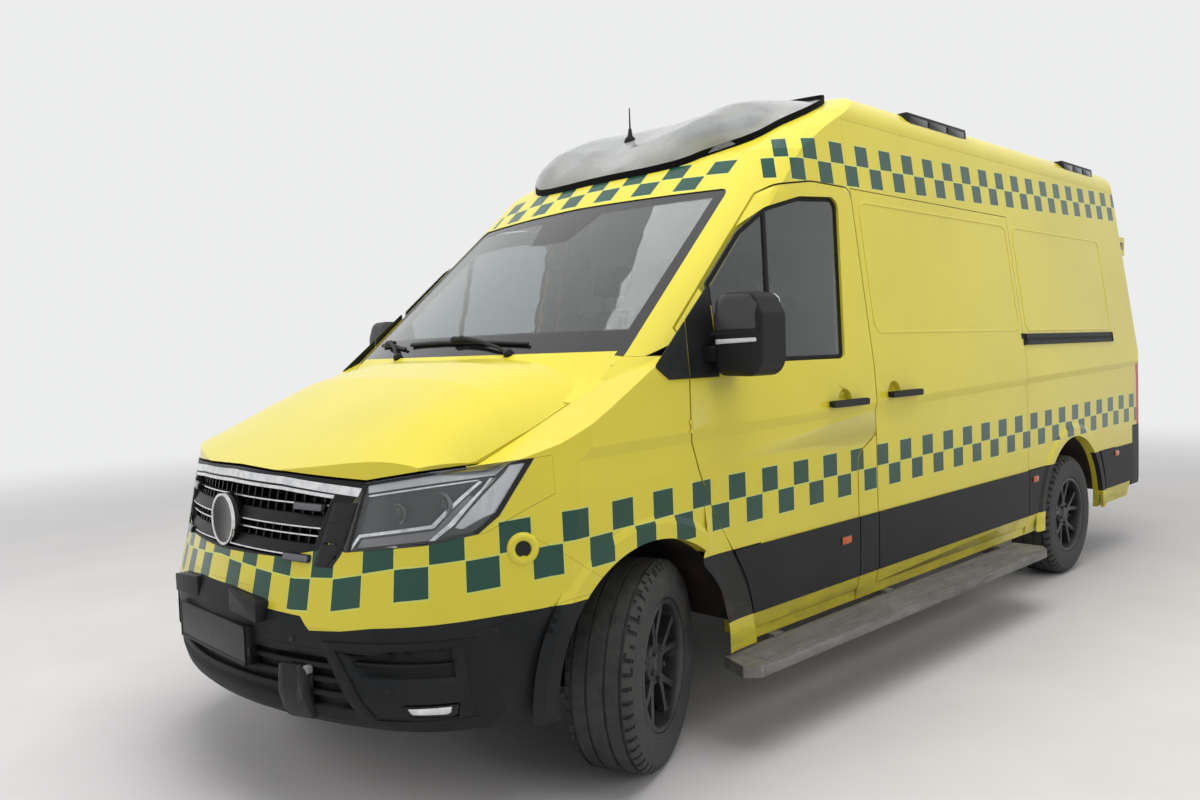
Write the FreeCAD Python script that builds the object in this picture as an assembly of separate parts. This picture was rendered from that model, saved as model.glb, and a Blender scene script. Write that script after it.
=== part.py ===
import FreeCAD, Part
import math
import os
from FreeCAD import Vector

os.makedirs("parts", exist_ok=True)

# High-roof panel-van ambulance, millimetres. +X is the vehicle's left, its front faces -Y, +Z is up.
# The origin is on the ground, midway between the bumpers, on the centre plane.

# Driving dimensions of the whole vehicle
LENGTH = 5986.0
ROOF_HEIGHT = 2590.0
WHEELBASE = 3640.0
FRONT_OVERHANG = 1026.0
TRACK = 1742.0
SIDE_HALF_WIDTH = 1003.0
TUMBLEHOME = 0.133
BELT_Z = 1300.0
SILL_Z = 330.0
GUTTER_Z = 2350.0
WALL = 45.0
DOOR_GAP = 7.0
SEAT = 0.4
SEAM = 0.8

FRONT_END = -LENGTH / 2
REAR_END = LENGTH / 2
FRONT_AXLE = FRONT_END + FRONT_OVERHANG
REAR_AXLE = FRONT_AXLE + WHEELBASE

# Wheels
TYRE_RADIUS = 348.0
TYRE_WIDTH = 235.0
RIM_RADIUS = 206.0
SPOKES = 10
KINGPIN_X = 770.0
REST_STEER = 23.6
ARCH_FRONT_RADIUS = 437.0
ARCH_REAR_RADIUS = 465.0
FLARE_WIDTH = 85.0
FLARE_X = 1020.0

# Body side: the half width at the main heights
SILL_X = 982.0
BAND_LOW_Z = 435.0
BAND_HIGH_Z = 680.0
LOWER_X = 1010.0
CREASE_X = 1014.0
CREASE_FRONT_Z = 1116.0
CREASE_RISE = 0.024
CREASE_DEPTH = 10.0
GUTTER_X = SIDE_HALF_WIDTH - TUMBLEHOME * (GUTTER_Z - BELT_Z)

# Windscreen: the foot and head corners, and how far the middle stands ahead of them
SCREEN_FOOT_Z = 1387.0
SCREEN_HEAD_Z = 2009.0
SCREEN_FOOT_X = 852.0
SCREEN_HEAD_X = 770.0
SCREEN_FOOT_Y = FRONT_AXLE + 60.0
SCREEN_HEAD_Y = FRONT_AXLE + 742.0
SCREEN_FOOT_CROWN = 150.0
SCREEN_HEAD_CROWN = 95.0
PILLAR_WIDTH = 138.0

# Main stations along the vehicle
DOOR_FRONT = FRONT_AXLE + 191.0
DOOR_REAR = FRONT_AXLE + 1395.0
DOOR_REAR_LOW = FRONT_AXLE + 1242.0
SLIDER_REAR = FRONT_AXLE + 2977.0
REAR_SKIN = REAR_END - 78.0
REAR_LEAN = 35.0
REAR_CORNER_RADIUS = 95.0
FLOOR_Z = 600.0
FLOOR_THICKNESS = 50.0
FLOOR_HALF_WIDTH = 924.0
FLOOR_FRONT = FRONT_AXLE + 520.0
DOOR_FOOT_Z = 372.0
SILL_TOP_Z = DOOR_FOOT_Z - DOOR_GAP / 2
DOOR_HEAD_Z = 2052.0
PILLAR_SEAM_Z = 1372.0


def vec(x, y, z):
    return Vector(x, y, z)


def side_plane(x):
    return lambda u, v: vec(x, u, v)


def front_plane(y):
    return lambda u, v: vec(u, y, v)


def plan_plane(z):
    return lambda u, v: vec(u, v, z)


def rounded_wire(points, place):
    """A closed wire through points (u, v) or (u, v, radius), with its corners rounded."""
    count = len(points)
    corners = []
    for i, point in enumerate(points):
        here = vec(point[0], point[1], 0)
        radius = point[2] if len(point) > 2 else 0.0
        if radius <= 0:
            corners.append((here, None, here))
            continue
        before = vec(*points[i - 1][:2], 0) - here
        after = vec(*points[(i + 1) % count][:2], 0) - here
        half = before.getAngle(after) / 2
        cut = radius / math.tan(half)
        before.normalize()
        after.normalize()
        middle = before + after
        middle.normalize()
        reach = radius / math.sin(half) - radius
        corners.append((here + before * cut, here + middle * reach, here + after * cut))
    edges = []
    for i, (start, middle, end) in enumerate(corners):
        if middle is not None:
            arc = Part.Arc(place(start.x, start.y), place(middle.x, middle.y), place(end.x, end.y))
            edges.append(arc.toShape())
        target = corners[(i + 1) % count][0]
        if (target - end).Length > 1e-6:
            edges.append(Part.makeLine(place(end.x, end.y), place(target.x, target.y)))
    return Part.Wire(edges)


def face_of(points, place, shrink=0.0):
    face = Part.Face(rounded_wire(points, place))
    if shrink:
        face = Part.Face(face.makeOffset2D(-shrink, 2).Wires[0])
    return face


def side_prism(points, x0, x1, shrink=0.0):
    """An outline in (y, z), extruded from x0 to x1."""
    return face_of(points, side_plane(x0), shrink).extrude(vec(x1 - x0, 0, 0))


def front_prism(points, y0, y1, shrink=0.0):
    """An outline in (x, z), extruded from y0 to y1."""
    return face_of(points, front_plane(y0), shrink).extrude(vec(0, y1 - y0, 0))


def plan_prism(points, z0, z1, shrink=0.0):
    """An outline in (x, y), extruded from z0 to z1."""
    return face_of(points, plan_plane(z0), shrink).extrude(vec(0, 0, z1 - z0))


def box(x0, x1, y0, y1, z0, z1):
    return Part.makeBox(x1 - x0, y1 - y0, z1 - z0, vec(x0, y0, z0))


def tube_x(radius, x0, x1, y, z):
    return Part.makeCylinder(radius, x1 - x0, vec(x0, y, z), vec(1, 0, 0))


def tube_y(radius, y0, y1, x, z):
    return Part.makeCylinder(radius, y1 - y0, vec(x, y0, z), vec(0, 1, 0))


def tube_z(radius, z0, z1, x, y):
    return Part.makeCylinder(radius, z1 - z0, vec(x, y, z0))


def mirrored(shape):
    return shape.mirror(vec(0, 0, 0), vec(1, 0, 0))


def pair(shape):
    """A left piece and its mirror image."""
    return Part.makeCompound(shape.Solids + mirrored(shape).Solids)


def fused(*shapes):
    result = shapes[0]
    for shape in shapes[1:]:
        result = result.fuse(shape)
    return result.removeSplitter()


def largest(shape):
    return max(shape.Solids, key=lambda solid: solid.Volume)


def crease_z(y):
    return CREASE_FRONT_Z + CREASE_RISE * (y - DOOR_FRONT)


def side_x(z):
    """Half width of the body side at a height above the belt."""
    return SIDE_HALF_WIDTH - TUMBLEHOME * (z - BELT_Z)


def section_wire(y, inset, bottom):
    """The body's cross-section at y, set in from the skin by inset."""
    crease = crease_z(y)
    half = [
        (SILL_X, SILL_Z),
        (LOWER_X - 4, BAND_LOW_Z),
        (LOWER_X, BAND_HIGH_Z),
        (LOWER_X - 2, crease - 120),
        (CREASE_X - CREASE_DEPTH, crease - 35),
        (CREASE_X, crease),
        (SIDE_HALF_WIDTH, BELT_Z),
        (GUTTER_X, GUTTER_Z),
    ]
    half = [(x - inset, z) for x, z in half]
    half[0] = (half[0][0], bottom)
    roof = [(GUTTER_X, GUTTER_Z), (845, 2420), (798, 2472), (700, 2512), (400, 2562), (0, ROOF_HEIGHT)]
    squeeze = (GUTTER_X - inset) / GUTTER_X
    roof = [(x * squeeze, z - inset * (z - GUTTER_Z) / (ROOF_HEIGHT - GUTTER_Z)) for x, z in roof]
    top = roof + [(-x, z) for x, z in reversed(roof[:-1])]
    spline = Part.BSplineCurve()
    spline.interpolate([vec(x, y, z) for x, z in top])
    corners = [vec(x, y, z) for x, z in half] + [spline.toShape()]
    corners += [vec(-x, y, z) for x, z in reversed(half)]
    edges = []
    for a, b in zip(corners, corners[1:]):
        if isinstance(a, Vector) and isinstance(b, Vector):
            edges.append(Part.makeLine(a, b))
        elif isinstance(a, Vector):
            edges.append(b)
    edges.append(Part.makeLine(corners[-1], corners[0]))
    return Part.Wire(edges)


def section_block(inset=0.0, bottom=SILL_Z):
    """The body's cross-section run from end to end."""
    stations = (FRONT_END - 100, REAR_END + 100)
    return Part.makeLoft([section_wire(y, inset, bottom) for y in stations], True, True)


def front_curve(z, front, half_width, tail):
    """The plan outline of the nose at height z, closed behind by a box."""
    shape = [(0, 0), (300, 33), (600, 130), (800, 262), (900, 430), (960, 570), (1000, 790), (1025, 1150)]
    shape = [(x * half_width / 1025.0, y) for x, y in shape]
    line = [vec(-x, front + y, z) for x, y in reversed(shape[1:])] + [vec(x, front + y, z) for x, y in shape]
    spline = Part.BSplineCurve()
    spline.interpolate(line)
    a, b = line[0], line[-1]
    c, d = vec(b.x, tail, z), vec(a.x, tail, z)
    return Part.Wire([spline.toShape(), Part.makeLine(b, c), Part.makeLine(c, d), Part.makeLine(d, a)])


# Front profile on the centre line: height, and distance behind the foremost point
NOSE_PROFILE = [(0.0, 110.0), (290.0, 80.0), (350.0, 20.0), (420.0, 0.0), (620.0, 8.0), (800.0, 53.0),
                (1060.0, 108.0), (1500.0, 200.0), (2700.0, 450.0)]


def plan_block(setback=0.0):
    """Everything behind the nose's curved front."""
    wires = [front_curve(z, FRONT_END + back + setback, 1060.0, REAR_END + 200) for z, back in NOSE_PROFILE]
    return Part.makeLoft(wires, True, True)


# Bonnet and wing tops: distance behind the front axle, and the heights at these half widths
BONNET_WIDTHS = [0.0, 430.0, 600.0, 800.0, 1060.0]
BONNET_STATIONS = [
    (-1150.0, [1000, 990, 985, 985, 985]),
    (-920.0, [1046, 1040, 1032, 1030, 1025]),
    (-753.0, [1135, 1125, 1108, 1050, 1042]),
    (-533.0, [1243, 1233, 1208, 1068, 1066]),
    (-363.0, [1322, 1310, 1280, 1140, 1118]),
    (-183.0, [1370, 1358, 1325, 1224, 1212]),
    (17.0, [1396, 1388, 1366, 1328, 1326]),
    (250.0, [1410, 1405, 1392, 1400, 1440]),
]


def bonnet_block(lower=0.0):
    """The solid below the bonnet and wing tops, back to the windscreen."""
    wires = []
    for back, heights in BONNET_STATIONS:
        y = FRONT_AXLE + back
        pairs = list(zip(BONNET_WIDTHS, heights))
        middle = pairs[:4]
        line = [vec(-x, y, z - lower) for x, z in reversed(middle[1:])]
        line += [vec(x, y, z - lower) for x, z in middle]
        spline = Part.BSplineCurve()
        spline.interpolate(line)
        outer_x, outer_z = pairs[4]
        right, left = vec(-outer_x, y, outer_z - lower), vec(outer_x, y, outer_z - lower)
        low_left, low_right = vec(outer_x, y, -50), vec(-outer_x, y, -50)
        wires.append(Part.Wire([spline.toShape(), Part.makeLine(line[-1], left), Part.makeLine(left, low_left),
                                Part.makeLine(low_left, low_right), Part.makeLine(low_right, right),
                                Part.makeLine(right, line[0])]))
    return Part.makeLoft(wires, True, True)


def screen_wire(z, corner_x, corner_y, crown, tail):
    """The plan outline at height z: screen arc, pillar curve and straight sides."""
    arc = Part.Arc(vec(-corner_x, corner_y, z), vec(0, corner_y - crown, z), vec(corner_x, corner_y, z))
    offsets = [(0, 0), (85, 62), (PILLAR_WIDTH, PILLAR_WIDTH), (205, 330)]
    edges = [arc.toShape()]
    left = Part.BSplineCurve()
    left.interpolate([vec(corner_x + dx, corner_y + dy, z) for dx, dy in offsets])
    right = Part.BSplineCurve()
    right.interpolate([vec(-corner_x - dx, corner_y + dy, z) for dx, dy in reversed(offsets)])
    a = vec(corner_x + offsets[-1][0], corner_y + offsets[-1][1], z)
    b = vec(a.x, tail, z)
    c = vec(-a.x, tail, z)
    d = vec(-a.x, a.y, z)
    edges += [left.toShape(), Part.makeLine(a, b), Part.makeLine(b, c), Part.makeLine(c, d), right.toShape()]
    return Part.Wire(edges)


# The roof's front slope above the screen: height, and distance of its corner behind the screen's head corner
ROOF_SLOPE = [(2180.0, 180.0), (2300.0, 385.0), (2400.0, 585.0), (2480.0, 790.0), (2540.0, 1010.0),
              (2580.0, 1310.0), (2640.0, 2100.0)]


def cab_block(shift=0.0):
    """Everything behind the windscreen and the roof's front slope."""
    slope_x = (SCREEN_FOOT_X - SCREEN_HEAD_X) / (SCREEN_HEAD_Z - SCREEN_FOOT_Z)
    rake = (SCREEN_HEAD_Y - SCREEN_FOOT_Y) / (SCREEN_HEAD_Z - SCREEN_FOOT_Z)
    tail = REAR_END + 200
    levels = []
    drop = 300.0
    low_x, low_y = SCREEN_FOOT_X + drop * slope_x, SCREEN_FOOT_Y - drop * rake
    levels.append((-100.0, low_x, low_y, SCREEN_FOOT_CROWN))
    levels.append((SCREEN_FOOT_Z - drop, low_x, low_y, SCREEN_FOOT_CROWN))
    levels.append((SCREEN_FOOT_Z, SCREEN_FOOT_X, SCREEN_FOOT_Y, SCREEN_FOOT_CROWN))
    levels.append((SCREEN_HEAD_Z, SCREEN_HEAD_X, SCREEN_HEAD_Y, SCREEN_HEAD_CROWN))
    for z, back in ROOF_SLOPE:
        levels.append((z, SCREEN_HEAD_X - (z - SCREEN_HEAD_Z) * slope_x, SCREEN_HEAD_Y + back, SCREEN_HEAD_CROWN))
    wires = [screen_wire(z, x, y, crown, tail) for z, x, y, crown in levels]
    block = Part.makeLoft(wires, True, True)
    if shift:
        block.translate(vec(0, 0.7 * shift, -0.7 * shift))
    return block


def rear_block(setback=0.0):
    """Everything ahead of the rear face, with its rounded upright corners."""
    levels = [(-100.0, LOWER_X + 6, REAR_SKIN + 10), (BELT_Z, LOWER_X + 6, REAR_SKIN),
              (GUTTER_Z, GUTTER_X + 6, REAR_SKIN - REAR_LEAN), (ROOF_HEIGHT + 60, GUTTER_X - 30, REAR_SKIN - 110)]
    wires = []
    for z, half, rear in levels:
        radius = REAR_CORNER_RADIUS - setback / 2
        end = rear - setback
        outline = [(-half, FRONT_END - 100), (half, FRONT_END - 100), (half, end, radius), (-half, end, radius)]
        wires.append(rounded_wire(outline, plan_plane(z)))
    return Part.makeLoft(wires, True, True)


def body_block(inset=0.0, bottom=SILL_Z):
    """The whole body as one solid, set in from the skin by inset."""
    lower_nose = bonnet_block(inset)
    top = lower_nose.fuse(cab_block(inset))
    return section_block(inset, bottom).common(plan_block(inset)).common(top).common(rear_block(inset))


# Side-view outlines, as distances behind the front axle and heights
DOOR_OUTLINE = [
    (191, 1122, 60), (232, 984, 300), (305, 821, 400), (414, 666, 300), (502, 481, 120),
    (520, DOOR_FOOT_Z, 20), (1242, DOOR_FOOT_Z, 25), (1242, 940, 60), (1395, 1010, 60),
    (1395, DOOR_HEAD_Z, 50), (1100, DOOR_HEAD_Z, 300), (864, 2016, 200), (600, 1902, 300),
    (242, 1604, 60), (213, 1512, 60), (203, 1300, 40),
]
WINDOW_OUTLINE = [
    (365, 1335, 12), (1177, 1335, 30), (1287, 2003, 45), (1006, 1982, 200), (774, 1922, 200),
    (586, 1818, 200), (365, 1620, 15),
]
SAIL_REAR = 355.0
SAIL_LOW_Z = 1293.0
SAIL_OUTLINE = [(37, 1338, 10), (99, SAIL_LOW_Z, 15), (SAIL_REAR, SAIL_LOW_Z, 4), (SAIL_REAR, 1610, 4)]

# Front-view outlines of the nose pieces, for the vehicle's left
GRILLE_TOP = [(0, 1053), (300, 1049), (615, 1033)]
LAMP_TOP = [(615, 1034), (800, 1066), (940, 1087), (1000, 1098)]
GRILLE_OUTLINE = [(0, 795), (330, 802), (505, 838)] + GRILLE_TOP[::-1]
LAMP_OUTLINE = [(580, 833), (800, 859), (900, 886), (1000, 1000)] + LAMP_TOP[::-1] + [(515, 841)]
BUMPER_SPLIT = [(0, 705), (215, 705), (300, 560), (700, 553), (880, 600), (1060, 690)]
WING_LINE = [(-553, 925), (-278, 732)]

# Bonnet shut line in plan, as half widths and distances behind the front axle, and its hinge
BONNET_SHUT = [(700, -1066), (752, -760), (795, -560), (800, -380), (812, -200), (832, 0), (856, 140)]
BONNET_REAR_GAP = 14.0
BONNET_PIN_RADIUS = 4.0
BONNET_PIN_X = 800.0
BONNET_PIN_Y = FRONT_AXLE + 17.0
BONNET_PIN_Z = 1345.0
BONNET_ARM = [(-215, 1172), (-60, 1225), (27, 1335), (20, 1352), (8, 1351), (-75, 1250), (-215, 1205)]

# Front door hinge, in the seam
DOOR_PIN_RADIUS = 3.0
DOOR_PIN_X = CREASE_X + 1
DOOR_PIN_Y = DOOR_FRONT + 1
DOOR_PIN_LEVELS = (1112.0, 1124.0, 1142.6, 1155.0)
PIN_PLAY = 0.3

# Rear doors and their outside hinges
REAR_DOOR_X = 861.0
REAR_DOOR_LOW_Z = 560.0
REAR_DOOR_HIGH_Z = 2330.0
REAR_HINGE_RADIUS = 15.0
REAR_HINGE_X = REAR_DOOR_X + 19.0
REAR_HINGE_Y = REAR_END - 36.0
REAR_HINGE_LEVELS = (870.0, 1400.0, 2000.0)
TAIL_LAMP_LOW_Z = 800.0
TAIL_LAMP_HIGH_Z = 1205.0
TAIL_LAMP_INNER_X = REAR_HINGE_X + 50.0
BUMPER_CORNER_LENGTH = 190.0
REAR_BUMPER_LOW_Z = 400.0
TOWING_THREAD_RADIUS = 10.0
TOWING_DEPTH = 45.0
TOWING_X = -350.0
TOWING_Z = 470.0
REAR_BUMPER_TOP_Z = REAR_DOOR_LOW_Z - 15.0

# Cladding band, handles and mirror
BAND_PROUD = 6.0
SAIL_PROUD = 5.0
RAIL_PROUD = 10.0
FRONT_HANDLE_Y = FRONT_AXLE + 1152.0
FRONT_HANDLE_Z = 1157.0
SLIDER_HANDLE_Y = FRONT_AXLE + 1611.0
SLIDER_HANDLE_Z = 1172.0
RAIL_START = FRONT_AXLE + 2947.0
RAIL_END = FRONT_AXLE + 4354.0
RAIL_Z = (1360.0, 1420.0)
MIRROR_X = 1213.5
MIRROR_FRONT = FRONT_AXLE + 305.0

# Side step: it starts clear of the steered front tyre
STEP_START = 352.0

# Inside
WALL_X = SIDE_HALF_WIDTH - WALL
BULKHEAD_Y = DOOR_REAR + 85.0
BULKHEAD_THICKNESS = 40.0
SEAT_X = 450.0
LINER = 4.0

# Roof fairing
DOME_FRONT = SCREEN_HEAD_Y + 60.0
DOME_TAIL = SCREEN_HEAD_Y + 860.0
DOME_WALL = 8.0


def at_cab(points):
    """Outline points given behind the front axle, placed in the vehicle's frame."""
    return [(FRONT_AXLE + p[0],) + tuple(p[1:]) for p in points]


def both_sides(half):
    """A front-view line of the left half, run across from the right side to the left."""
    return [(-x, z) for x, z in reversed(half) if x > 0] + half


def arch_cutter(y, radius):
    return tube_x(radius, -1200, 1200, y, TYRE_RADIUS)


def flare(y, radius):
    """The raised lip round a left wheel arch."""
    proud = FLARE_X - LOWER_X
    body = Part.makeCone(radius + FLARE_WIDTH, radius + FLARE_WIDTH - 35, proud + 6, vec(LOWER_X - 6, y, TYRE_RADIUS),
                         vec(1, 0, 0))
    hole = tube_x(radius, LOWER_X - 60, FLARE_X + 10, y, TYRE_RADIUS)
    keep = box(LOWER_X - 60, FLARE_X + 10, y - 700, y + 700, SILL_Z, 1200)
    return body.cut(hole).common(keep)


def build_shell(outer, inner):
    """The body's wall, with its wheel arches open and their lips raised."""
    arches = ((FRONT_AXLE, ARCH_FRONT_RADIUS), (REAR_AXLE, ARCH_REAR_RADIUS))
    for y, radius in arches:
        lip = flare(y, radius)
        outer = outer.fuse(lip).fuse(mirrored(lip))
    shell = outer.cut(inner)
    for y, radius in arches:
        shell = shell.cut(arch_cutter(y, radius))
    return shell


def door_prism(shrink, x0=600, x1=1100):
    return side_prism(at_cab(DOOR_OUTLINE), x0, x1, shrink)


def wing_side_outline():
    """Side view of everything ahead of the front door and behind the bumper and lamp."""
    door = at_cab([(260, 1300), (260, 984), (420, 740), (540, 481), (540, SILL_Z - 20)])
    (split_a, split_b) = at_cab(WING_LINE)
    return [(split_b[0] + 300, split_b[1] - 210), split_b, split_a, (split_a[0] - 60, 1400),
            (DOOR_FRONT + 69, 1400)] + door


def build_nose(shell):
    """Bonnet, wings, bumper, lamps and grille, cut from the shell."""
    ahead, behind = FRONT_END - 60, FRONT_AXLE + 260
    nose = shell.common(box(-1100, 1100, ahead, behind, 0, 1460))
    grille_tool = front_prism(both_sides(GRILLE_OUTLINE), ahead, FRONT_AXLE - 330, SEAM / 2)
    grille_room = front_prism(both_sides(GRILLE_OUTLINE), ahead, FRONT_AXLE - 330, -SEAM / 2)
    lamp_tool = front_prism(LAMP_OUTLINE, ahead, FRONT_AXLE - 390, SEAM / 2)
    lamp_room = front_prism(LAMP_OUTLINE, ahead, FRONT_AXLE - 390 + SEAM, -SEAM / 2)
    lamp_rooms = lamp_room.fuse(mirrored(lamp_room))
    parts = {"grille": nose.common(grille_tool).cut(lamp_rooms), "headlamps": pair(nose.common(lamp_tool))}
    rest = nose.cut(grille_room).cut(lamp_rooms)

    plan = [(x, FRONT_AXLE + y) for x, y in BONNET_SHUT]
    plan += [(-x, y) for x, y in reversed(plan)]
    lid = plan_prism(plan, 1000, 1460, DOOR_GAP / 2)
    lid_room = plan_prism(plan, 1000, 1460, -DOOR_GAP / 2)
    screen = cab_block()
    screen.translate(vec(0, -BONNET_REAR_GAP, 0))
    brow = [(x, z + DOOR_GAP) for x, z in GRILLE_TOP + LAMP_TOP[1:]] + [(1100, LAMP_TOP[-1][1] + 30)]
    above = front_prism(both_sides(brow) + [(1100, 1460), (-1100, 1460)], ahead, behind)
    arm = side_prism(at_cab(BONNET_ARM), BONNET_PIN_X - 20, BONNET_PIN_X)
    hinge = arm.fuse(tube_x(BONNET_PIN_RADIUS, BONNET_PIN_X - 20, BONNET_PIN_X + 12, BONNET_PIN_Y, BONNET_PIN_Z))
    parts["bonnet"] = fused(largest(rest.common(lid).common(above).cut(screen)), hinge, mirrored(hinge))
    rest = rest.cut(lid_room)

    split = both_sides(BUMPER_SPLIT)
    top = [(1100, 1250), (-1100, 1250)]
    upper = front_prism(split + top, ahead, FRONT_AXLE)
    upper_only = front_prism([(x, z + SEAM) for x, z in split] + top, ahead, FRONT_AXLE)
    wing = side_prism(wing_side_outline(), 500, 1100, SEAM / 2)
    wing_room = side_prism(wing_side_outline(), 500, 1100, -SEAM / 2)
    wings_room = wing_room.fuse(mirrored(wing_room))
    front = rest.common(box(-1100, 1100, ahead, FRONT_AXLE - 200, 0, 1250)).cut(wings_room)
    parts["front_bumper"] = largest(front.common(upper_only))
    parts["bumper_lower"] = largest(front.cut(upper))
    left = rest.common(wing).common(box(500, 1100, ahead, behind, 0, PILLAR_SEAM_Z - SEAM / 2))
    left = largest(left.cut(door_prism(-DOOR_GAP / 2)))
    low, low_end, high_start, high = DOOR_PIN_LEVELS
    leaves = [door_pin(low, low_end), door_pin(high_start, high)]
    leaves += [box(DOOR_PIN_X - 14, DOOR_PIN_X + 2, DOOR_PIN_Y - 10, DOOR_PIN_Y, a, b) for a, b in
               ((low, low_end), (high_start, high))]
    parts["fenders"] = pair(fused(left, *leaves))
    return parts


def door_pin(low, high):
    return tube_z(DOOR_PIN_RADIUS, low, high, DOOR_PIN_X, DOOR_PIN_Y)


def build_front_doors(shell):
    """Front doors with a window cut, and the hinge knuckle between the wing's two."""
    door = shell.common(door_prism(DOOR_GAP / 2)).cut(side_prism(at_cab(WINDOW_OUTLINE), 600, 1100))
    door = door.cut(section_block(WALL + 2, -60.0))
    reach = math.hypot(DOOR_REAR - DOOR_GAP / 2 - DOOR_PIN_Y, DOOR_PIN_X - side_x(DOOR_HEAD_Z)) + 1
    door = door.common(tube_z(reach, 0, 3000, DOOR_PIN_X, DOOR_PIN_Y))
    low, high = DOOR_PIN_LEVELS[1] + PIN_PLAY, DOOR_PIN_LEVELS[2] - PIN_PLAY
    leaf = box(DOOR_PIN_X - 14, DOOR_PIN_X + 2, DOOR_PIN_Y, DOOR_PIN_Y + 10, low, high)
    door = fused(largest(door), door_pin(low, high), leaf)
    return {"front_door_left": door, "front_door_right": mirrored(door)}


def rear_door_outline(grow=0.0):
    """Front view of the left rear door, from the middle of the vehicle to the hinge side."""
    x = REAR_DOOR_X + grow
    high_x = REAR_DOOR_X + (side_x(REAR_DOOR_HIGH_Z) - SIDE_HALF_WIDTH) * 0.64 + grow
    low, high = REAR_DOOR_LOW_Z + DOOR_GAP - grow, REAR_DOOR_HIGH_Z - DOOR_GAP + grow
    return [(0, low), (x, low, 30), (x, BELT_Z), (high_x, high, 90), (0, high)]


def rear_opening():
    """The room that both rear doors stand in."""
    half = front_prism(rear_door_outline(DOOR_GAP), REAR_SKIN - 220, REAR_END + 20)
    return half.fuse(mirrored(half))


def build_sides(shell):
    """Sliding doors, rear quarters, upper sides, roof and tail lamps, cut from the shell."""
    slider = [(DOOR_REAR, DOOR_FOOT_Z), (SLIDER_REAR, DOOR_FOOT_Z), (SLIDER_REAR, DOOR_HEAD_Z),
              (DOOR_REAR, DOOR_HEAD_Z)]
    sliding = shell.common(side_prism(slider, 600, 1100, DOOR_GAP / 2)).cut(door_prism(-DOOR_GAP / 2))
    sliding = sliding.cut(panel_between_doors(-DOOR_GAP / 2))
    roller = box(LOWER_X - 70, LOWER_X - 35, DOOR_REAR + 150, DOOR_REAR + 290, SILL_TOP_Z + SEAT, DOOR_FOOT_Z + 40)
    parts = {"sliding_doors": pair(fused(largest(sliding), roller))}
    lamp_start = REAR_SKIN - REAR_CORNER_RADIUS - 10
    lamp = shell.common(box(TAIL_LAMP_INNER_X, 1100, lamp_start, REAR_END, TAIL_LAMP_LOW_Z, TAIL_LAMP_HIGH_Z))
    lamp_room = box(TAIL_LAMP_INNER_X - SEAM, 1100, lamp_start - SEAM, REAR_END, TAIL_LAMP_LOW_Z - SEAM,
                    TAIL_LAMP_HIGH_Z + SEAM)
    parts["tail_lamps"] = pair(lamp)
    outline = [(SLIDER_REAR, SILL_Z - 50), (REAR_END + 50, SILL_Z - 50), (REAR_END + 50, GUTTER_Z),
               (SLIDER_REAR, GUTTER_Z)]
    opening = rear_opening()
    quarter = shell.common(side_prism(outline, 600, 1100, SEAM / 2)).cut(opening).cut(lamp_room)
    bumper_start = REAR_SKIN - BUMPER_CORNER_LENGTH
    quarter = quarter.cut(box(600, 1100, bumper_start - SEAM, REAR_END, 0, TAIL_LAMP_LOW_Z))
    quarter = largest(quarter.cut(box(0, 1100, REAR_SKIN - 220, REAR_END, 0, REAR_DOOR_LOW_Z)))
    parts["rear_quarters"] = pair(quarter.fuse(rear_hinge_leaves()[0]).removeSplitter())
    upper = [(DOOR_REAR, DOOR_HEAD_Z), (SLIDER_REAR, DOOR_HEAD_Z), (SLIDER_REAR, GUTTER_Z), (DOOR_REAR, GUTTER_Z)]
    parts["upper_sides"] = pair(shell.common(side_prism(upper, 600, 1100, SEAM / 2)))
    roof = shell.common(box(-1100, 1100, DOOR_REAR + SEAM / 2, REAR_END, GUTTER_Z + SEAM / 2, ROOF_HEIGHT + 50))
    parts["roof_panel"] = largest(roof.cut(opening))
    return parts


def rear_hinge_leaves():
    """Left rear hinges: the knuckles on the body, and those on the door."""
    fixed, swing = [], []
    for z in REAR_HINGE_LEVELS:
        for low, high in ((z - 60, z - 25), (z + 25, z + 60)):
            fixed.append(tube_z(REAR_HINGE_RADIUS, low, high, REAR_HINGE_X, REAR_HINGE_Y))
            fixed.append(box(REAR_HINGE_X - 4, REAR_HINGE_X + 15, REAR_SKIN - 70, REAR_HINGE_Y, low, high))
        low, high = z - 25 + PIN_PLAY, z + 25 - PIN_PLAY
        swing.append(tube_z(REAR_HINGE_RADIUS, low, high, REAR_HINGE_X, REAR_HINGE_Y))
        swing.append(box(REAR_HINGE_X - 110, REAR_HINGE_X, REAR_HINGE_Y - 9, REAR_HINGE_Y + 9, low, high))
        swing.append(box(REAR_HINGE_X - 110, REAR_HINGE_X - 80, REAR_SKIN - 60, REAR_HINGE_Y + 9, low, high))
    return fused(*fixed), fused(*swing)


def build_rear_doors(shell):
    """Rear doors with their windows and glass."""
    meeting = plan_prism([(DOOR_GAP / 2, REAR_END), (DOOR_GAP / 2, REAR_SKIN), (DOOR_GAP / 2 + 5, REAR_SKIN - 120),
                          (DOOR_GAP / 2 + 9, REAR_SKIN - 216), (1000, REAR_SKIN - 216), (1000, REAR_END)], 0, 3000)
    door = shell.common(front_prism(rear_door_outline(), REAR_SKIN - 216, REAR_END)).common(meeting)
    low_x, high_x = 130, REAR_DOOR_X - 120
    window = [(low_x, 1330, 50), (high_x, 1330, 50), (high_x - 50, 2010, 60), (low_x, 2010, 50)]
    door = largest(door.cut(front_prism(window, REAR_SKIN - 300, REAR_END)))
    layer = rear_block(14).cut(rear_block(20))
    glass = layer.common(front_prism(window, REAR_SKIN - 300, REAR_END, SEAM / 2))
    door = fused(door, rear_hinge_leaves()[1])
    return {"rear_door_left": door, "rear_door_right": mirrored(door),
            "rear_glass_left": glass, "rear_glass_right": mirrored(glass)}


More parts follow.
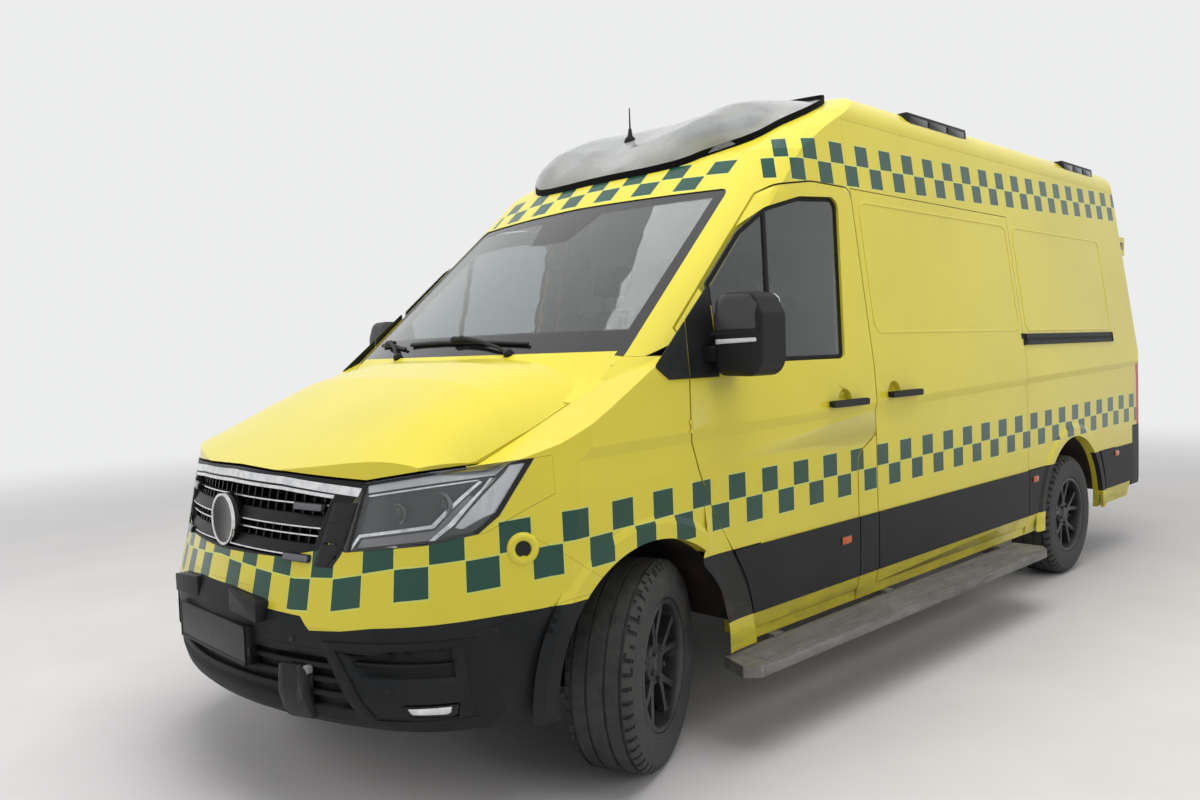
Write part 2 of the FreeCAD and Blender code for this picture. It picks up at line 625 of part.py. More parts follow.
def panel_between_doors(shrink):
    corner = [(DOOR_REAR_LOW, SILL_Z - 10), (DOOR_REAR, SILL_Z - 10), (DOOR_REAR, 1010), (DOOR_REAR_LOW, 940)]
    return side_prism(corner, 600, 1100, shrink)


def build_side_frame(shell):
    """Left sill, middle pillar and the fixed panel between the two doors, in one piece."""
    start, end = FLOOR_FRONT + 25, REAR_AXLE - ARCH_REAR_RADIUS - 30
    floor_edge = FLOOR_HALF_WIDTH + 1
    sill_top = FLOOR_Z - FLOOR_THICKNESS - SEAM
    sill = front_prism([(SILL_X - 2, SILL_Z), (SILL_X - 2, SILL_TOP_Z), (floor_edge, SILL_TOP_Z),
                        (floor_edge, sill_top), (850, sill_top), (850, SILL_Z)], start, end)
    outer = SIDE_HALF_WIDTH - WALL - DOOR_GAP - 2
    depth = outer - floor_edge
    low, top = DOOR_HEAD_Z + 20, DOOR_HEAD_Z + 130
    lean = side_x(top) - side_x(BELT_Z)
    post = front_prism([(outer, 500), (outer, BELT_Z), (outer + lean, top), (outer + lean - depth, top),
                        (outer - depth, BELT_Z), (outer - depth, 500)], DOOR_REAR - 70, DOOR_REAR + 70)
    pad = front_prism([(side_x(low) - WALL - 14, low), (side_x(low) - WALL - SEAT, low),
                       (side_x(top) - WALL - SEAT, top), (side_x(top) - WALL - 14, top)],
                      DOOR_REAR + SEAM, DOOR_REAR + 70)
    sill = sill.cut(box(floor_edge, 1100, SLIDER_REAR - SEAM, end, 0, FLOOR_Z))
    bridge = box(outer - 20, LOWER_X - WALL + 10, DOOR_REAR_LOW + 12, DOOR_REAR - 12, 420, 860)
    panel = shell.common(panel_between_doors(DOOR_GAP / 2)).fuse(bridge).cut(door_prism(-DOOR_GAP / 2))
    return fused(sill, post, pad, largest(panel))


def build_cab_frame(shell):
    """Pillars, header and the front cap of the roof, as one frame round the windscreen."""
    frame = shell.common(box(-1100, 1100, SCREEN_FOOT_Y - 400, DOOR_REAR - SEAM / 2,
                             PILLAR_SEAM_Z + SEAM / 2, ROOF_HEIGHT + 50))
    door_room = door_prism(-DOOR_GAP / 2).cut(section_block(WALL + 9, -60.0))
    frame = frame.cut(door_room).cut(mirrored(door_room)).cut(bonnet_block(-20))
    hole = front_prism([(-SCREEN_FOOT_X, 1300), (SCREEN_FOOT_X, 1300)] + screen_opening(), SCREEN_FOOT_Y - 400,
                       SCREEN_HEAD_Y + 200)
    return largest(frame.cut(hole))


def screen_opening():
    """Front view of the windscreen's sides and head, from its left foot to its right foot."""
    return [(SCREEN_FOOT_X, SCREEN_FOOT_Z), (SCREEN_HEAD_X, SCREEN_HEAD_Z, 40), (0, SCREEN_HEAD_Z + 14),
            (-SCREEN_HEAD_X, SCREEN_HEAD_Z, 40), (-SCREEN_FOOT_X, SCREEN_FOOT_Z)]


def skin_layer(depth, thickness):
    """A thin layer of the body side that lies depth inside the skin."""
    return section_block(depth).cut(section_block(depth + thickness, -60.0))


def build_glass():
    """Windscreen and the two front door windows, each a thin layer in its opening."""
    foot = SCREEN_FOOT_Z - 10
    opening = front_prism([(-SCREEN_FOOT_X, foot), (SCREEN_FOOT_X, foot)] + screen_opening(), SCREEN_FOOT_Y - 400,
                          SCREEN_HEAD_Y + 200, SEAM / 2)
    layer = cab_block(4).cut(cab_block(14)).common(section_block(8, -60.0))
    side = skin_layer(14, 6).common(side_prism(at_cab(WINDOW_OUTLINE), 600, 1100, SEAM / 2))
    return {"windscreen": layer.common(opening), "door_glass_left": side, "door_glass_right": mirrored(side)}


def build_mirror(outside):
    """Door mirror with its arm and sail plate, for the left side."""
    front = MIRROR_FRONT
    outline = [(1015, 1297, 45), (MIRROR_X - 22, 1293, 60), (MIRROR_X, 1350, 40), (MIRROR_X, 1500, 40),
               (MIRROR_X - 40, 1575, 45), (1040, 1578, 50), (1015, 1500, 40)]
    head = front_prism(outline, front, front + 150)
    front_edges = [e for e in head.Edges if all(abs(v.Y - front) < 0.1 for v in e.Vertexes)]
    head = head.makeFillet(28, front_edges)
    arm = front_prism([(980, 1352, 10), (1040, 1345, 10), (1040, 1400, 10), (980, 1395, 10)], front - 25, front + 45)
    plate = side_prism(at_cab(SAIL_OUTLINE), 900, 1100).common(section_block(-SAIL_PROUD)).common(
        door_prism(DOOR_GAP / 2, 900, 1100))
    return largest(head.fuse(arm).fuse(plate).cut(outside))


def build_door_trim(outside):
    """Cladding band and pull handle of the left front door."""
    band = band_piece(DOOR_FRONT, DOOR_REAR, outside).common(door_prism(DOOR_GAP / 2, 900, 1100))
    return Part.makeCompound([largest(band), build_handle(FRONT_HANDLE_Y, FRONT_HANDLE_Z, outside)])


def band_piece(start, end, outside):
    """A stretch of the dark lower cladding band on the left side."""
    piece = section_block(-BAND_PROUD).cut(outside).common(box(900, 1100, start, end, BAND_LOW_Z, BAND_HIGH_Z))
    for y, radius in ((FRONT_AXLE, ARCH_FRONT_RADIUS), (REAR_AXLE, ARCH_REAR_RADIUS)):
        piece = piece.cut(tube_x(radius + FLARE_WIDTH, 800, 1200, y, TYRE_RADIUS))
    return piece


def build_handle(y, z, outside):
    """A pull handle that stands off the skin on two feet."""
    x = LOWER_X + 2
    grip = side_prism([(y - 131, z - 14, 12), (y + 131, z - 14, 12), (y + 131, z + 14, 12), (y - 131, z + 14, 12)],
                      x + 16, x + 34)
    feet = [box(x - 12, x + 18, y + side * 105 - 14, y + side * 105 + 14, z - 11, z + 11) for side in (-1, 1)]
    return fused(grip, *feet).cut(outside)


def build_side_cladding(outside):
    """Fixed dark trim of both sides: bands, sliding-door handle, rail and the corner plate by the mirror."""
    pieces = []
    for start, end in ((DOOR_REAR_LOW + DOOR_GAP / 2, DOOR_REAR - DOOR_GAP / 2),
                       (DOOR_REAR + DOOR_GAP / 2, SLIDER_REAR - DOOR_GAP / 2),
                       (SLIDER_REAR + DOOR_GAP / 2, REAR_AXLE),
                       (REAR_AXLE, REAR_SKIN - BUMPER_CORNER_LENGTH - SEAM)):
        pieces += band_piece(start, end, outside).Solids
    pieces.append(build_handle(SLIDER_HANDLE_Y, SLIDER_HANDLE_Z, outside))
    low, high = RAIL_Z
    rail = section_block(-RAIL_PROUD).cut(outside).common(box(900, 1100, RAIL_START + 40, RAIL_END, low, high))
    pieces += rail.Solids
    corner = section_block(-SAIL_PROUD).cut(outside).common(side_prism(at_cab(SAIL_OUTLINE), 900, 1100))
    pieces += corner.cut(door_prism(-DOOR_GAP / 2, 800, 1150)).Solids
    return pair(Part.makeCompound(pieces))


def build_wheel():
    """A left rim and tyre about the X axis, centred on the tyre's middle plane."""
    half = TYRE_WIDTH / 2
    bead = half - 14.5
    lip_radius = RIM_RADIUS + 10
    tyre_half = [(-bead + SEAM, RIM_RADIUS + 1), (-bead + SEAM, lip_radius + 1), (-half + 5, lip_radius + 4),
                 (-half, 272), (-half + 6, 312), (-half + 20, 338), (-half + 45, 346), (0, TYRE_RADIUS)]
    profile = [vec(x, 0, r) for x, r in tyre_half] + [vec(-x, 0, r) for x, r in reversed(tyre_half[:-1])]
    outline = Part.makePolygon(profile + [profile[0]])
    tyre = Part.Face(outline).revolve(vec(0, 0, 0), vec(1, 0, 0), 360)
    barrel = tube_x(RIM_RADIUS, -bead, bead, 0, 0).cut(tube_x(RIM_RADIUS - 10, -bead, bead, 0, 0))
    lip = tube_x(lip_radius, bead, bead + 8, 0, 0).cut(tube_x(RIM_RADIUS - 10, bead, bead + 8, 0, 0))
    face = half - 42
    hub = tube_x(78, face - 34, face, 0, 0)
    spoke = side_prism([(-17, 60), (17, 60), (10, RIM_RADIUS - 4), (-10, RIM_RADIUS - 4)], face - 26, face + 2)
    rim = fused(barrel, lip, hub)
    for i in range(SPOKES):
        arm = spoke.copy()
        arm.rotate(vec(0, 0, 0), vec(1, 0, 0), 360.0 * i / SPOKES)
        rim = rim.fuse(arm)
    disc = tube_x(150, face - 78, face - 52, 0, 0)
    bell = tube_x(82, face - 60, face - 30, 0, 0)
    return fused(rim, disc, bell), tyre


def build_knuckle():
    """Left front knuckle: upright on the kingpin axis and the stub that carries the hub."""
    wheel_x = TRACK / 2
    hub_back = wheel_x + TYRE_WIDTH / 2 - 42 - 78
    post = tube_z(27, TYRE_RADIUS - 110, TYRE_RADIUS + 110, KINGPIN_X, FRONT_AXLE)
    stub = tube_x(34, KINGPIN_X, hub_back - PIN_PLAY, FRONT_AXLE, TYRE_RADIUS)
    return post.fuse(stub).removeSplitter()


def build_wheels():
    parts = {}
    rim, tyre = build_wheel()
    knuckle = build_knuckle()
    for side, sign in (("left", 1), ("right", -1)):
        for axle, y in (("front", FRONT_AXLE), ("rear", REAR_AXLE)):
            for kind, shape in (("rim", rim), ("tyre", tyre)):
                piece = shape.copy()
                piece.translate(vec(TRACK / 2, y, TYRE_RADIUS))
                if sign < 0:
                    piece = mirrored(piece)
                if axle == "front":
                    piece.rotate(vec(sign * KINGPIN_X, FRONT_AXLE, 0), vec(0, 0, 1), REST_STEER)
                parts[kind + "_" + axle + "_" + side] = piece
        upright = knuckle.copy() if sign > 0 else mirrored(knuckle)
        upright.rotate(vec(sign * KINGPIN_X, FRONT_AXLE, 0), vec(0, 0, 1), REST_STEER)
        parts["knuckle_" + side] = upright
    return parts


def build_running_gear():
    """Front subframe with its arms, engine, rear axle on leaf springs, chassis rails, tank and exhaust."""
    parts = {}
    arm_z = TYRE_RADIUS - 110
    rail_top = FLOOR_Z - FLOOR_THICKNESS - SEAM
    cradle = box(-380, 380, FRONT_AXLE - 190, FRONT_AXLE + 210, 205, 262)
    cradle = cradle.cut(box(-230, 230, FRONT_AXLE - 110, FRONT_AXLE + 130, 190, 280))
    arm = plan_prism([(370, FRONT_AXLE - 150), (KINGPIN_X + 18, FRONT_AXLE - 24, 20), (KINGPIN_X + 18, FRONT_AXLE + 24, 20),
                      (370, FRONT_AXLE + 180)], arm_z - 25, arm_z - PIN_PLAY)
    posts = box(330, 378, FRONT_AXLE - 40, FRONT_AXLE + 60, 255, 422)
    hanger = box(340, 440, FRONT_AXLE + 130, FRONT_AXLE + 200, 255, 470 - SEAM)
    parts["front_subframe"] = fused(cradle, arm, mirrored(arm), posts, mirrored(posts), hanger, mirrored(hanger))
    parts["engine_block"] = box(-330, 330, FRONT_AXLE - 480, FRONT_AXLE - 60, 262 + SEAM, 960)
    hub_back = TRACK / 2 + TYRE_WIDTH / 2 - 42 - 78
    beam = tube_x(45, -hub_back + PIN_PLAY, hub_back - PIN_PLAY, REAR_AXLE, TYRE_RADIUS)
    spring_line = [(REAR_AXLE - 640, 470), (REAR_AXLE - 320, 410), (REAR_AXLE, 393), (REAR_AXLE + 320, 410),
                   (REAR_AXLE + 640, 470)]
    spring = side_prism(spring_line + [(y, z + 26) for y, z in reversed(spring_line)], 440, 510)
    eyes = [box(440, 510, y - 30, y + 30, z + 12, 520 - SEAM) for y, z in (spring_line[0], spring_line[-1])]
    pad = box(435, 515, REAR_AXLE - 60, REAR_AXLE + 60, TYRE_RADIUS - 60, 400)
    leaf = fused(spring, pad, *eyes)
    parts["rear_axle"] = fused(beam, leaf, mirrored(leaf))
    rail = box(430, 520, FLOOR_FRONT, REAR_SKIN - 60, 520, rail_top)
    front_rail = box(430, 520, FRONT_AXLE - 760, FLOOR_FRONT, 470, rail_top)
    cross = [box(-430, 430, y, y + 70, 522, rail_top) for y in
             (FRONT_AXLE - 730, FRONT_AXLE + 900, FRONT_AXLE + 2100, REAR_AXLE - 640, REAR_AXLE + 700, REAR_SKIN - 140)]
    parts["chassis_frame"] = fused(rail, mirrored(rail), front_rail, mirrored(front_rail), *cross)
    parts["fuel_tank"] = box(-400, 240, FRONT_AXLE + 1150, FRONT_AXLE + 1900, 290, rail_top)
    silencer = tube_y(80, FRONT_AXLE + 1250, FRONT_AXLE + 1850, -620, 400)
    pipe = tube_y(32, FRONT_AXLE + 640, REAR_AXLE - 640, -620, 400)
    hangers = [box(-626, -614, y, y + 30, 400, rail_top) for y in (FRONT_AXLE + 700, FRONT_AXLE + 2300)]
    parts["exhaust"] = fused(silencer, pipe, *hangers)
    return parts


def build_inside(shell):
    """Floor, toe board, dashboard, steering wheel, seats, bulkhead and wheel housings."""
    parts = {}
    half = FLOOR_HALF_WIDTH
    floor = box(-half, half, FLOOR_FRONT, REAR_SKIN - REAR_LEAN - WALL - DOOR_GAP, FLOOR_Z - FLOOR_THICKNESS, FLOOR_Z)
    reach = ARCH_REAR_RADIUS + LINER + 14
    well = box(600, 1000, REAR_AXLE - reach, REAR_AXLE + reach, 500, 700)
    parts["floor_pan"] = largest(floor.cut(well).cut(mirrored(well)))
    behind_screen = cab_block()
    foot = 520 - SEAM
    tray_z = SCREEN_FOOT_Z - 77
    board = side_prism(at_cab([(foot, FLOOR_Z - FLOOR_THICKNESS), (foot, FLOOR_Z), (200, 1010), (185, tray_z),
                               (-150, tray_z), (-150, tray_z - 20), (158, tray_z - 20), (165, 1000),
                               (480, FLOOR_Z - FLOOR_THICKNESS)]), -WALL_X + 14, WALL_X - 14)
    lip = behind_screen.cut(cab_block(20)).common(box(-850, 850, SCREEN_FOOT_Y - 300, FRONT_AXLE + 200, tray_z - 20,
                                                      SCREEN_FOOT_Z - 10 - SEAM / 2))
    room = box(BONNET_PIN_X - 28, BONNET_PIN_X + 46, BONNET_PIN_Y - 160, BONNET_PIN_Y + 20, 1225, SCREEN_FOOT_Z)
    rooms = room.fuse(mirrored(room))
    post_x = BONNET_PIN_X + 12 + PIN_PLAY
    post = box(post_x + 2, post_x + 20, BONNET_PIN_Y - 9, BONNET_PIN_Y + 40, tray_z - 20, BONNET_PIN_Z)
    post = post.fuse(tube_x(BONNET_PIN_RADIUS, post_x, post_x + 20, BONNET_PIN_Y, BONNET_PIN_Z))
    cowl = largest(fused(board.common(behind_screen), lip).cut(shell).cut(rooms))
    parts["cowl"] = fused(cowl, post, mirrored(post))
    dash = side_prism(at_cab([(-140, tray_z + SEAM), (-140, 1330), (420, 1335, 30), (500, 1240, 40), (430, 1040, 40),
                              (400, 800, 10), (365, 800), (200 + SEAM, 1010), (185 + SEAM, tray_z + SEAM)]),
                      -WALL_X + 40, WALL_X - 40)
    post_room = box(BONNET_PIN_X - 28, BONNET_PIN_X + 46, BONNET_PIN_Y - 160, BONNET_PIN_Y + 41, tray_z, 1400)
    parts["dashboard"] = largest(dash.common(cab_block(22)).cut(shell).cut(post_room).cut(mirrored(post_room)))
    parts["steering_wheel"] = build_steering_wheel().cut(dash)
    parts["seats"] = pair(build_seat())
    head_z = GUTTER_Z - 20
    end = BULKHEAD_Y + BULKHEAD_THICKNESS
    edge = WALL_X - 10
    bulkhead = front_prism([(-edge, FLOOR_Z + SEAT), (edge, FLOOR_Z + SEAT), (edge, BELT_Z),
                            (side_x(head_z) - WALL - 6, head_z), (-side_x(head_z) + WALL + 6, head_z),
                            (-edge, BELT_Z)], BULKHEAD_Y, end)
    window = front_prism([(-350, 1350, 40), (350, 1350, 40), (350, 1850, 40), (-350, 1850, 40)], BULKHEAD_Y, end)
    parts["bulkhead"] = bulkhead.cut(window)
    liners = []
    for y, radius, inner_x, low in ((FRONT_AXLE, ARCH_FRONT_RADIUS, 530, 420), (REAR_AXLE, ARCH_REAR_RADIUS, 610, 440)):
        liner = tube_x(radius + 1 + LINER, inner_x - LINER, LOWER_X - WALL + 3, y, TYRE_RADIUS)
        liner = liner.cut(tube_x(radius + 1, inner_x, LOWER_X, y, TYRE_RADIUS))
        liners.append(largest(liner.common(box(0, 1100, y - 600, y + 600, low, 1000)).cut(shell)))
    parts["wheel_housings"] = pair(Part.makeCompound(liners))
    return parts


def build_steering_wheel():
    ring = Part.makeTorus(190, 15, vec(0, 0, 0), vec(0, 0, 1))
    boss = Part.makeCylinder(52, 50, vec(0, 0, -35))
    spokes = [Part.makeBox(150, 30, 14, vec(40, -15, -12)), Part.makeBox(150, 30, 14, vec(-190, -15, -12)),
              Part.makeBox(30, 150, 14, vec(-15, -190, -12))]
    column = Part.makeCylinder(30, 150, vec(0, 0, -185))
    wheel = fused(ring, boss, column, *spokes)
    wheel.rotate(vec(0, 0, 0), vec(1, 0, 0), -55)
    wheel.translate(vec(400, FRONT_AXLE + 620, 1230))
    return wheel


def build_seat():
    """The left front seat: plinth, cushion, backrest and headrest."""
    x, floor = SEAT_X, FLOOR_Z + SEAT
    base = side_prism(at_cab([(800, floor), (1180, floor), (1180, 900), (800, 900)]), x - 200, x + 200)
    pan = side_prism(at_cab([(720, 900, 25), (1240, 880, 30), (1240, 1020, 30), (720, 1040, 50)]), x - 260, x + 260)
    back = side_prism(at_cab([(1160, 960, 30), (1290, 960, 30), (1370, 1640, 40), (1270, 1650, 40)]), x - 245, x + 245)
    rest = side_prism(at_cab([(1270, 1630), (1370, 1620), (1385, 1840, 40), (1300, 1850, 40)]), x - 130, x + 130)
    return fused(base, pan, back, rest)


def build_roof_kit(body):
    """Smoked fairing over the cab with its gasket, the lamps under it and those along the roof's edges."""
    parts = {}
    front, tail = DOME_FRONT, DOME_TAIL
    plan = [(-640, front + 155, 60), (-400, front + 45, 500), (0, front, 600), (400, front + 45, 500),
            (640, front + 155, 60), (735, front + 560, 150), (640, tail, 120), (-640, tail, 120),
            (-735, front + 560, 150)]
    profile = [(front - 5, 2080), (front - 5, 2150, 10), (front + 55, 2262, 60), (front + 165, 2360, 200),
               (front + 320, 2440, 300), (front + 480, 2492, 300), (front + 640, 2520, 300), (tail + 50, 2540),
               (tail + 50, 2080)]
    fairing = side_prism(profile, -800, 800).common(plan_prism(plan, 2050, 2700))
    hollow = side_prism(profile, -800, 800, DOME_WALL).common(plan_prism(plan, 2050, 2700, DOME_WALL))
    raised = body.copy()
    raised.translate(vec(0, -21, 21))
    ring = plan_prism(plan, 2050, 2700, -14).cut(plan_prism(plan, 2050, 2700, DOME_WALL))
    parts["dome_seal"] = largest(raised.common(ring).cut(body))
    parts["roof_dome"] = largest(fairing.cut(hollow).cut(raised))
    lamps = [box(x - 95, x + 95, front + 345, front + 475, 2330, 2412) for x in (240, 470)]
    lamps.append(box(740, 830, DOOR_REAR + 690, DOOR_REAR + 1270, 2400, 2500))
    lamps.append(box(740, 830, REAR_SKIN - 750, REAR_SKIN - 350, 2400, 2500))
    parts["roof_lamps"] = pair(Part.makeCompound([lamp.cut(body) for lamp in lamps]))
    return parts


def build_wipers():
    """Two wiper arms lying on the foot of the windscreen."""
    layer = cab_block(-12).cut(cab_block(4 - SEAT))
    blades = [[(-60, 1440), (600, 1418), (600, 1436), (-60, 1462)], [(-700, 1418), (-120, 1440), (-120, 1460), (-700, 1436)]]
    strips = [front_prism(points, SCREEN_FOOT_Y - 400, SCREEN_FOOT_Y + 200) for points in blades]
    return Part.makeCompound([largest(layer.common(strip)) for strip in strips])


def build_outside():
    """Side steps and rear bumper."""
    start, end = FRONT_AXLE + STEP_START, REAR_AXLE - ARCH_REAR_RADIUS - 375
    plate = plan_prism([(1000, start), (1119, start - 49), (1163, start - 7), (1196, end - 70), (1150, end, 10),
                        (1000, end)], SILL_Z - 52, SILL_Z - 12)
    brackets = [box(860, 1010, y, y + 60, SILL_Z - 45, SILL_Z - SEAT) for y in (start + 280, start + 1100, end - 200)]
    return {"side_steps": pair(fused(plate, *brackets))}


def build_rear_bumper(shell):
    """Rear bumper: a beam across the back and the upright corners below the tail lamps."""
    beam = plan_prism([(-960, REAR_SKIN - 45), (960, REAR_SKIN - 45), (960, REAR_SKIN + 20, 40), (820, REAR_END, 60),
                       (-820, REAR_END, 60), (-960, REAR_SKIN + 20, 40)], REAR_BUMPER_LOW_Z, REAR_BUMPER_TOP_Z)
    start = REAR_SKIN - BUMPER_CORNER_LENGTH
    room = front_prism(rear_door_outline(DOOR_GAP), REAR_SKIN - 220, REAR_END + 20)
    corner = shell.common(box(700, 1100, start, REAR_END, REAR_BUMPER_LOW_Z, TAIL_LAMP_LOW_Z - SEAM)).cut(room)
    mounts = box(430, 520, REAR_SKIN - 60 + SEAM, REAR_SKIN - 30, REAR_BUMPER_TOP_Z - 40, REAR_BUMPER_TOP_Z)
    socket = tube_y(TOWING_THREAD_RADIUS, REAR_END - TOWING_DEPTH, REAR_END, TOWING_X, TOWING_Z)
    return fused(beam, corner, mirrored(corner), mounts, mirrored(mounts)).cut(socket)


def build_all():
    body, inner = body_block(), body_block(WALL, -60.0)
    shell = build_shell(body, inner)
    outside = section_block()
    parts = build_nose(shell)
    parts.update(build_sides(shell))
    parts.update(build_front_doors(shell))
    parts.update(build_rear_doors(shell))
    parts["cab_frame"] = build_cab_frame(shell)
    parts["side_frames"] = pair(build_side_frame(shell))
    parts.update(build_glass())
    mirror = build_mirror(outside)
    trim = build_door_trim(outside)
    for name, shape in (("mirror", mirror), ("door_trim", trim)):
        parts[name + "_left"] = shape
        parts[name + "_right"] = mirrored(shape)
    parts["side_cladding"] = build_side_cladding(outside)
    parts.update(build_wheels())
    parts.update(build_running_gear())
    parts.update(build_inside(shell))
    parts.update(build_roof_kit(body))
    parts["wipers"] = build_wipers()
    parts.update(build_outside())
    parts["rear_bumper"] = build_rear_bumper(shell)
    return parts


if __name__ == "__main__":
    for name, shape in build_all().items():
        solids = shape.Solids
        piece = solids[0] if len(solids) == 1 else Part.makeCompound(solids)
        piece.exportStep("parts/" + name + ".step")
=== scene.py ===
import math

import bmesh
import bpy
from mathutils import Matrix, Vector
from mathutils.bvhtree import BVHTree


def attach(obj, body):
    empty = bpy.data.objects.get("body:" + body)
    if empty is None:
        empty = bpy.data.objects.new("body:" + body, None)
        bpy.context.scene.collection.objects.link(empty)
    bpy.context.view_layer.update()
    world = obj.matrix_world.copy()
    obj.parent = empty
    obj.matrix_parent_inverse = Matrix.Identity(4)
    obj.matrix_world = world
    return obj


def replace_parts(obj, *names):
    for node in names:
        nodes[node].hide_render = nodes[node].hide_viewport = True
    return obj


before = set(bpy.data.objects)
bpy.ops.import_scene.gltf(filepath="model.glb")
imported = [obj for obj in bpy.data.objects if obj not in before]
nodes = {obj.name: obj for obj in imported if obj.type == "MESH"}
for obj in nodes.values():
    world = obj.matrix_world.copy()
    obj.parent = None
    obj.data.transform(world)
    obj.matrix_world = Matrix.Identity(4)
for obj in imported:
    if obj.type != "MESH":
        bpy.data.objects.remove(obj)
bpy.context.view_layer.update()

# Places that several pieces share, in metres, as in the source
FRONT_AXLE = -1.967
REAR_AXLE = 1.673
HUB_Z = 0.348
WHEEL_X = 0.871
KINGPIN_X = 0.770
REST_STEER = math.radians(23.6)
TYRE_HALF = 0.1175
RIM_RADIUS = 0.206
RIM_FACE = TYRE_HALF - 0.042
BOTH = (("left", 1), ("right", -1))

# Plain colours, as they look in daylight
YELLOW = (0.68, 0.585, 0.040)
DULLER_YELLOW = (0.62, 0.53, 0.035)
GREEN = (0.002, 0.052, 0.032)
KEYLINE = (0.56, 0.62, 0.14)
LINING = (0.42, 0.42, 0.40)
SILL_BLACK = (0.012, 0.013, 0.014)
LOW_BROWN = (0.13, 0.115, 0.075)
RUST = (0.10, 0.045, 0.02)
PRINTED_BLACK = (0.012, 0.012, 0.013)
WHITE = (1.0, 1.0, 1.0)
BACKDROP = (0.84, 0.845, 0.85)


# Materials

class Tree:
    """A node tree under construction."""

    def __init__(self, tree):
        self.tree = tree

    def node(self, kind, values=(), **settings):
        made = self.tree.nodes.new(kind)
        for key, value in settings.items():
            setattr(made, key, value)
        for value, socket in zip(values, made.inputs):
            if value is not None:
                self.join(value, socket)
        return made

    def join(self, value, socket):
        if isinstance(value, Field):
            value = value.socket
        if isinstance(value, bpy.types.NodeSocket):
            self.tree.links.new(value, socket)
        elif socket.type == "RGBA" and len(value) == 3:
            socket.default_value = (*value, 1)
        else:
            socket.default_value = value

    def field(self, kind, values, output=0, **settings):
        return Field(self, self.node(kind, values, **settings).outputs[output])

    def math(self, operation, *values, clamp=False):
        return self.field("ShaderNodeMath", values, operation=operation, use_clamp=clamp)

    def seen(self):
        """1 for the rays of the camera, and for those that mirrors and clear glass pass on."""
        rays = self.node("ShaderNodeLightPath").outputs
        return self.math("MAXIMUM", rays["Is Camera Ray"], rays["Is Glossy Ray"]) | rays["Is Transmission Ray"]


def operator(operation):
    return lambda first, *second: first.math(operation, *second)


class Field:
    """A value in a node tree, to calculate with: | takes the larger of two, & the smaller."""

    __add__, __sub__ = operator("ADD"), operator("SUBTRACT")
    __mul__, __truediv__ = operator("MULTIPLY"), operator("DIVIDE")
    __gt__, __lt__ = operator("GREATER_THAN"), operator("LESS_THAN")
    __or__, __and__ = operator("MAXIMUM"), operator("MINIMUM")
    __abs__ = operator("ABSOLUTE")

    def __init__(self, home, socket):
        self.home = home
        self.socket = socket

    def math(self, operation, *others, clamp=False):
        return self.home.math(operation, self, *others, clamp=clamp)

    def __rsub__(self, other):
        return self.home.math("SUBTRACT", other, self)

    def span(self, start, end, low=0.0, high=1.0):
        """From start to end the value becomes low to high, held at both ends."""
        return self.home.field("ShaderNodeMapRange", (self, start, end, low, high))

    def steps(self, start, rises):
        """A line of straight stretches: each rise is (from, to, how much)."""
        total = start
        for low, high, rise in rises:
            total = self.span(low, high, 0.0, rise) + total
        return total


class Finish(Tree):
    """One material under construction: its nodes and its main shader."""

    def __init__(self, name):
        self.material = bpy.data.materials.new(name)
        self.material.use_nodes = True
        super().__init__(self.material.node_tree)
        self.shader = self.tree.nodes["Principled BSDF"]
        self.place = self.node("ShaderNodeTexCoord").outputs

    def axes(self, output="Object"):
        outputs = self.node("ShaderNodeSeparateXYZ", (self.place[output],)).outputs
        return [Field(self, socket) for socket in outputs]

    def noise(self, scale, detail=4.0, rough=0.55, stretch=(1, 1, 1)):
        place = self.node("ShaderNodeMapping", (self.place["Object"], None, None, stretch)).outputs[0]
        made = self.node("ShaderNodeTexNoise", (place,))
        for name, value in (("Scale", scale), ("Detail", detail), ("Roughness", rough)):
            made.inputs[name].default_value = value
        return Field(self, made.outputs["Fac"])

    def mix(self, share, a, b):
        made = self.node("ShaderNodeMix", data_type="RGBA")
        for socket, value in ((0, share), (6, a), (7, b)):
            self.join(value, made.inputs[socket])
        return made.outputs[2]

    def set(self, **values):
        for key, value in values.items():
            self.join(value, self.shader.inputs[key.replace("_", " ")])
        return self.material

    def bump(self, height, strength, distance):
        made = self.node("ShaderNodeBump", (strength, distance))
        self.join(height, made.inputs["Height"])
        return self.set(Normal=made.outputs[0])


def dimmed(colour, share=0.6):
    return [c * share for c in colour]


def moulded(name, colour, rough, grain=900.0, depth=0.0004, strength=0.35, dust=0.25, shine=0.5):
    """Grained plastic with a veil of road dust that thickens in patches."""
    f = Finish(name)
    veil = f.noise(2.3, 5.0).span(0.42, 0.72, 0.0, dust) | f.noise(38.0, 5.0, 0.7).span(0.55, 0.85, 0.0, dust * 0.8)
    f.set(Base_Color=f.mix(veil, colour, [0.5 * c + 0.06 for c in colour]), Specular_IOR_Level=shine,
          Roughness=(veil * 0.35).math("ADD", rough, clamp=True))
    return f.bump(f.noise(grain, 2.0), strength, depth)


# The belts' squares are as tall as this in two rows, and a thin line goes round each
CHECK_HEIGHT = 0.0925
CHECK_LINE = 0.0022
HEADER_HEIGHT = 0.064
HEADER_LINE = 0.0020

# Columns of the lower belt by the way round the body, and the height of the line between its rows
LOW_COLUMNS = [(0.067, 0.571, 3.0), (0.571, 0.965, 2.0), (0.965, 1.342, 2.0), (1.342, 1.925, 3.0),
               (1.925, 2.314, 2.0), (2.314, 8.389, 30.0)]
LOW_START = 0.775
LOW_RISES = [(0.0, 0.42, -0.027), (0.42, 0.57, 0.009), (0.57, 0.785, 0.039), (0.785, 1.2, 0.038),
             (1.2, 1.93, 0.023), (1.93, 6.0, 0.0606)]

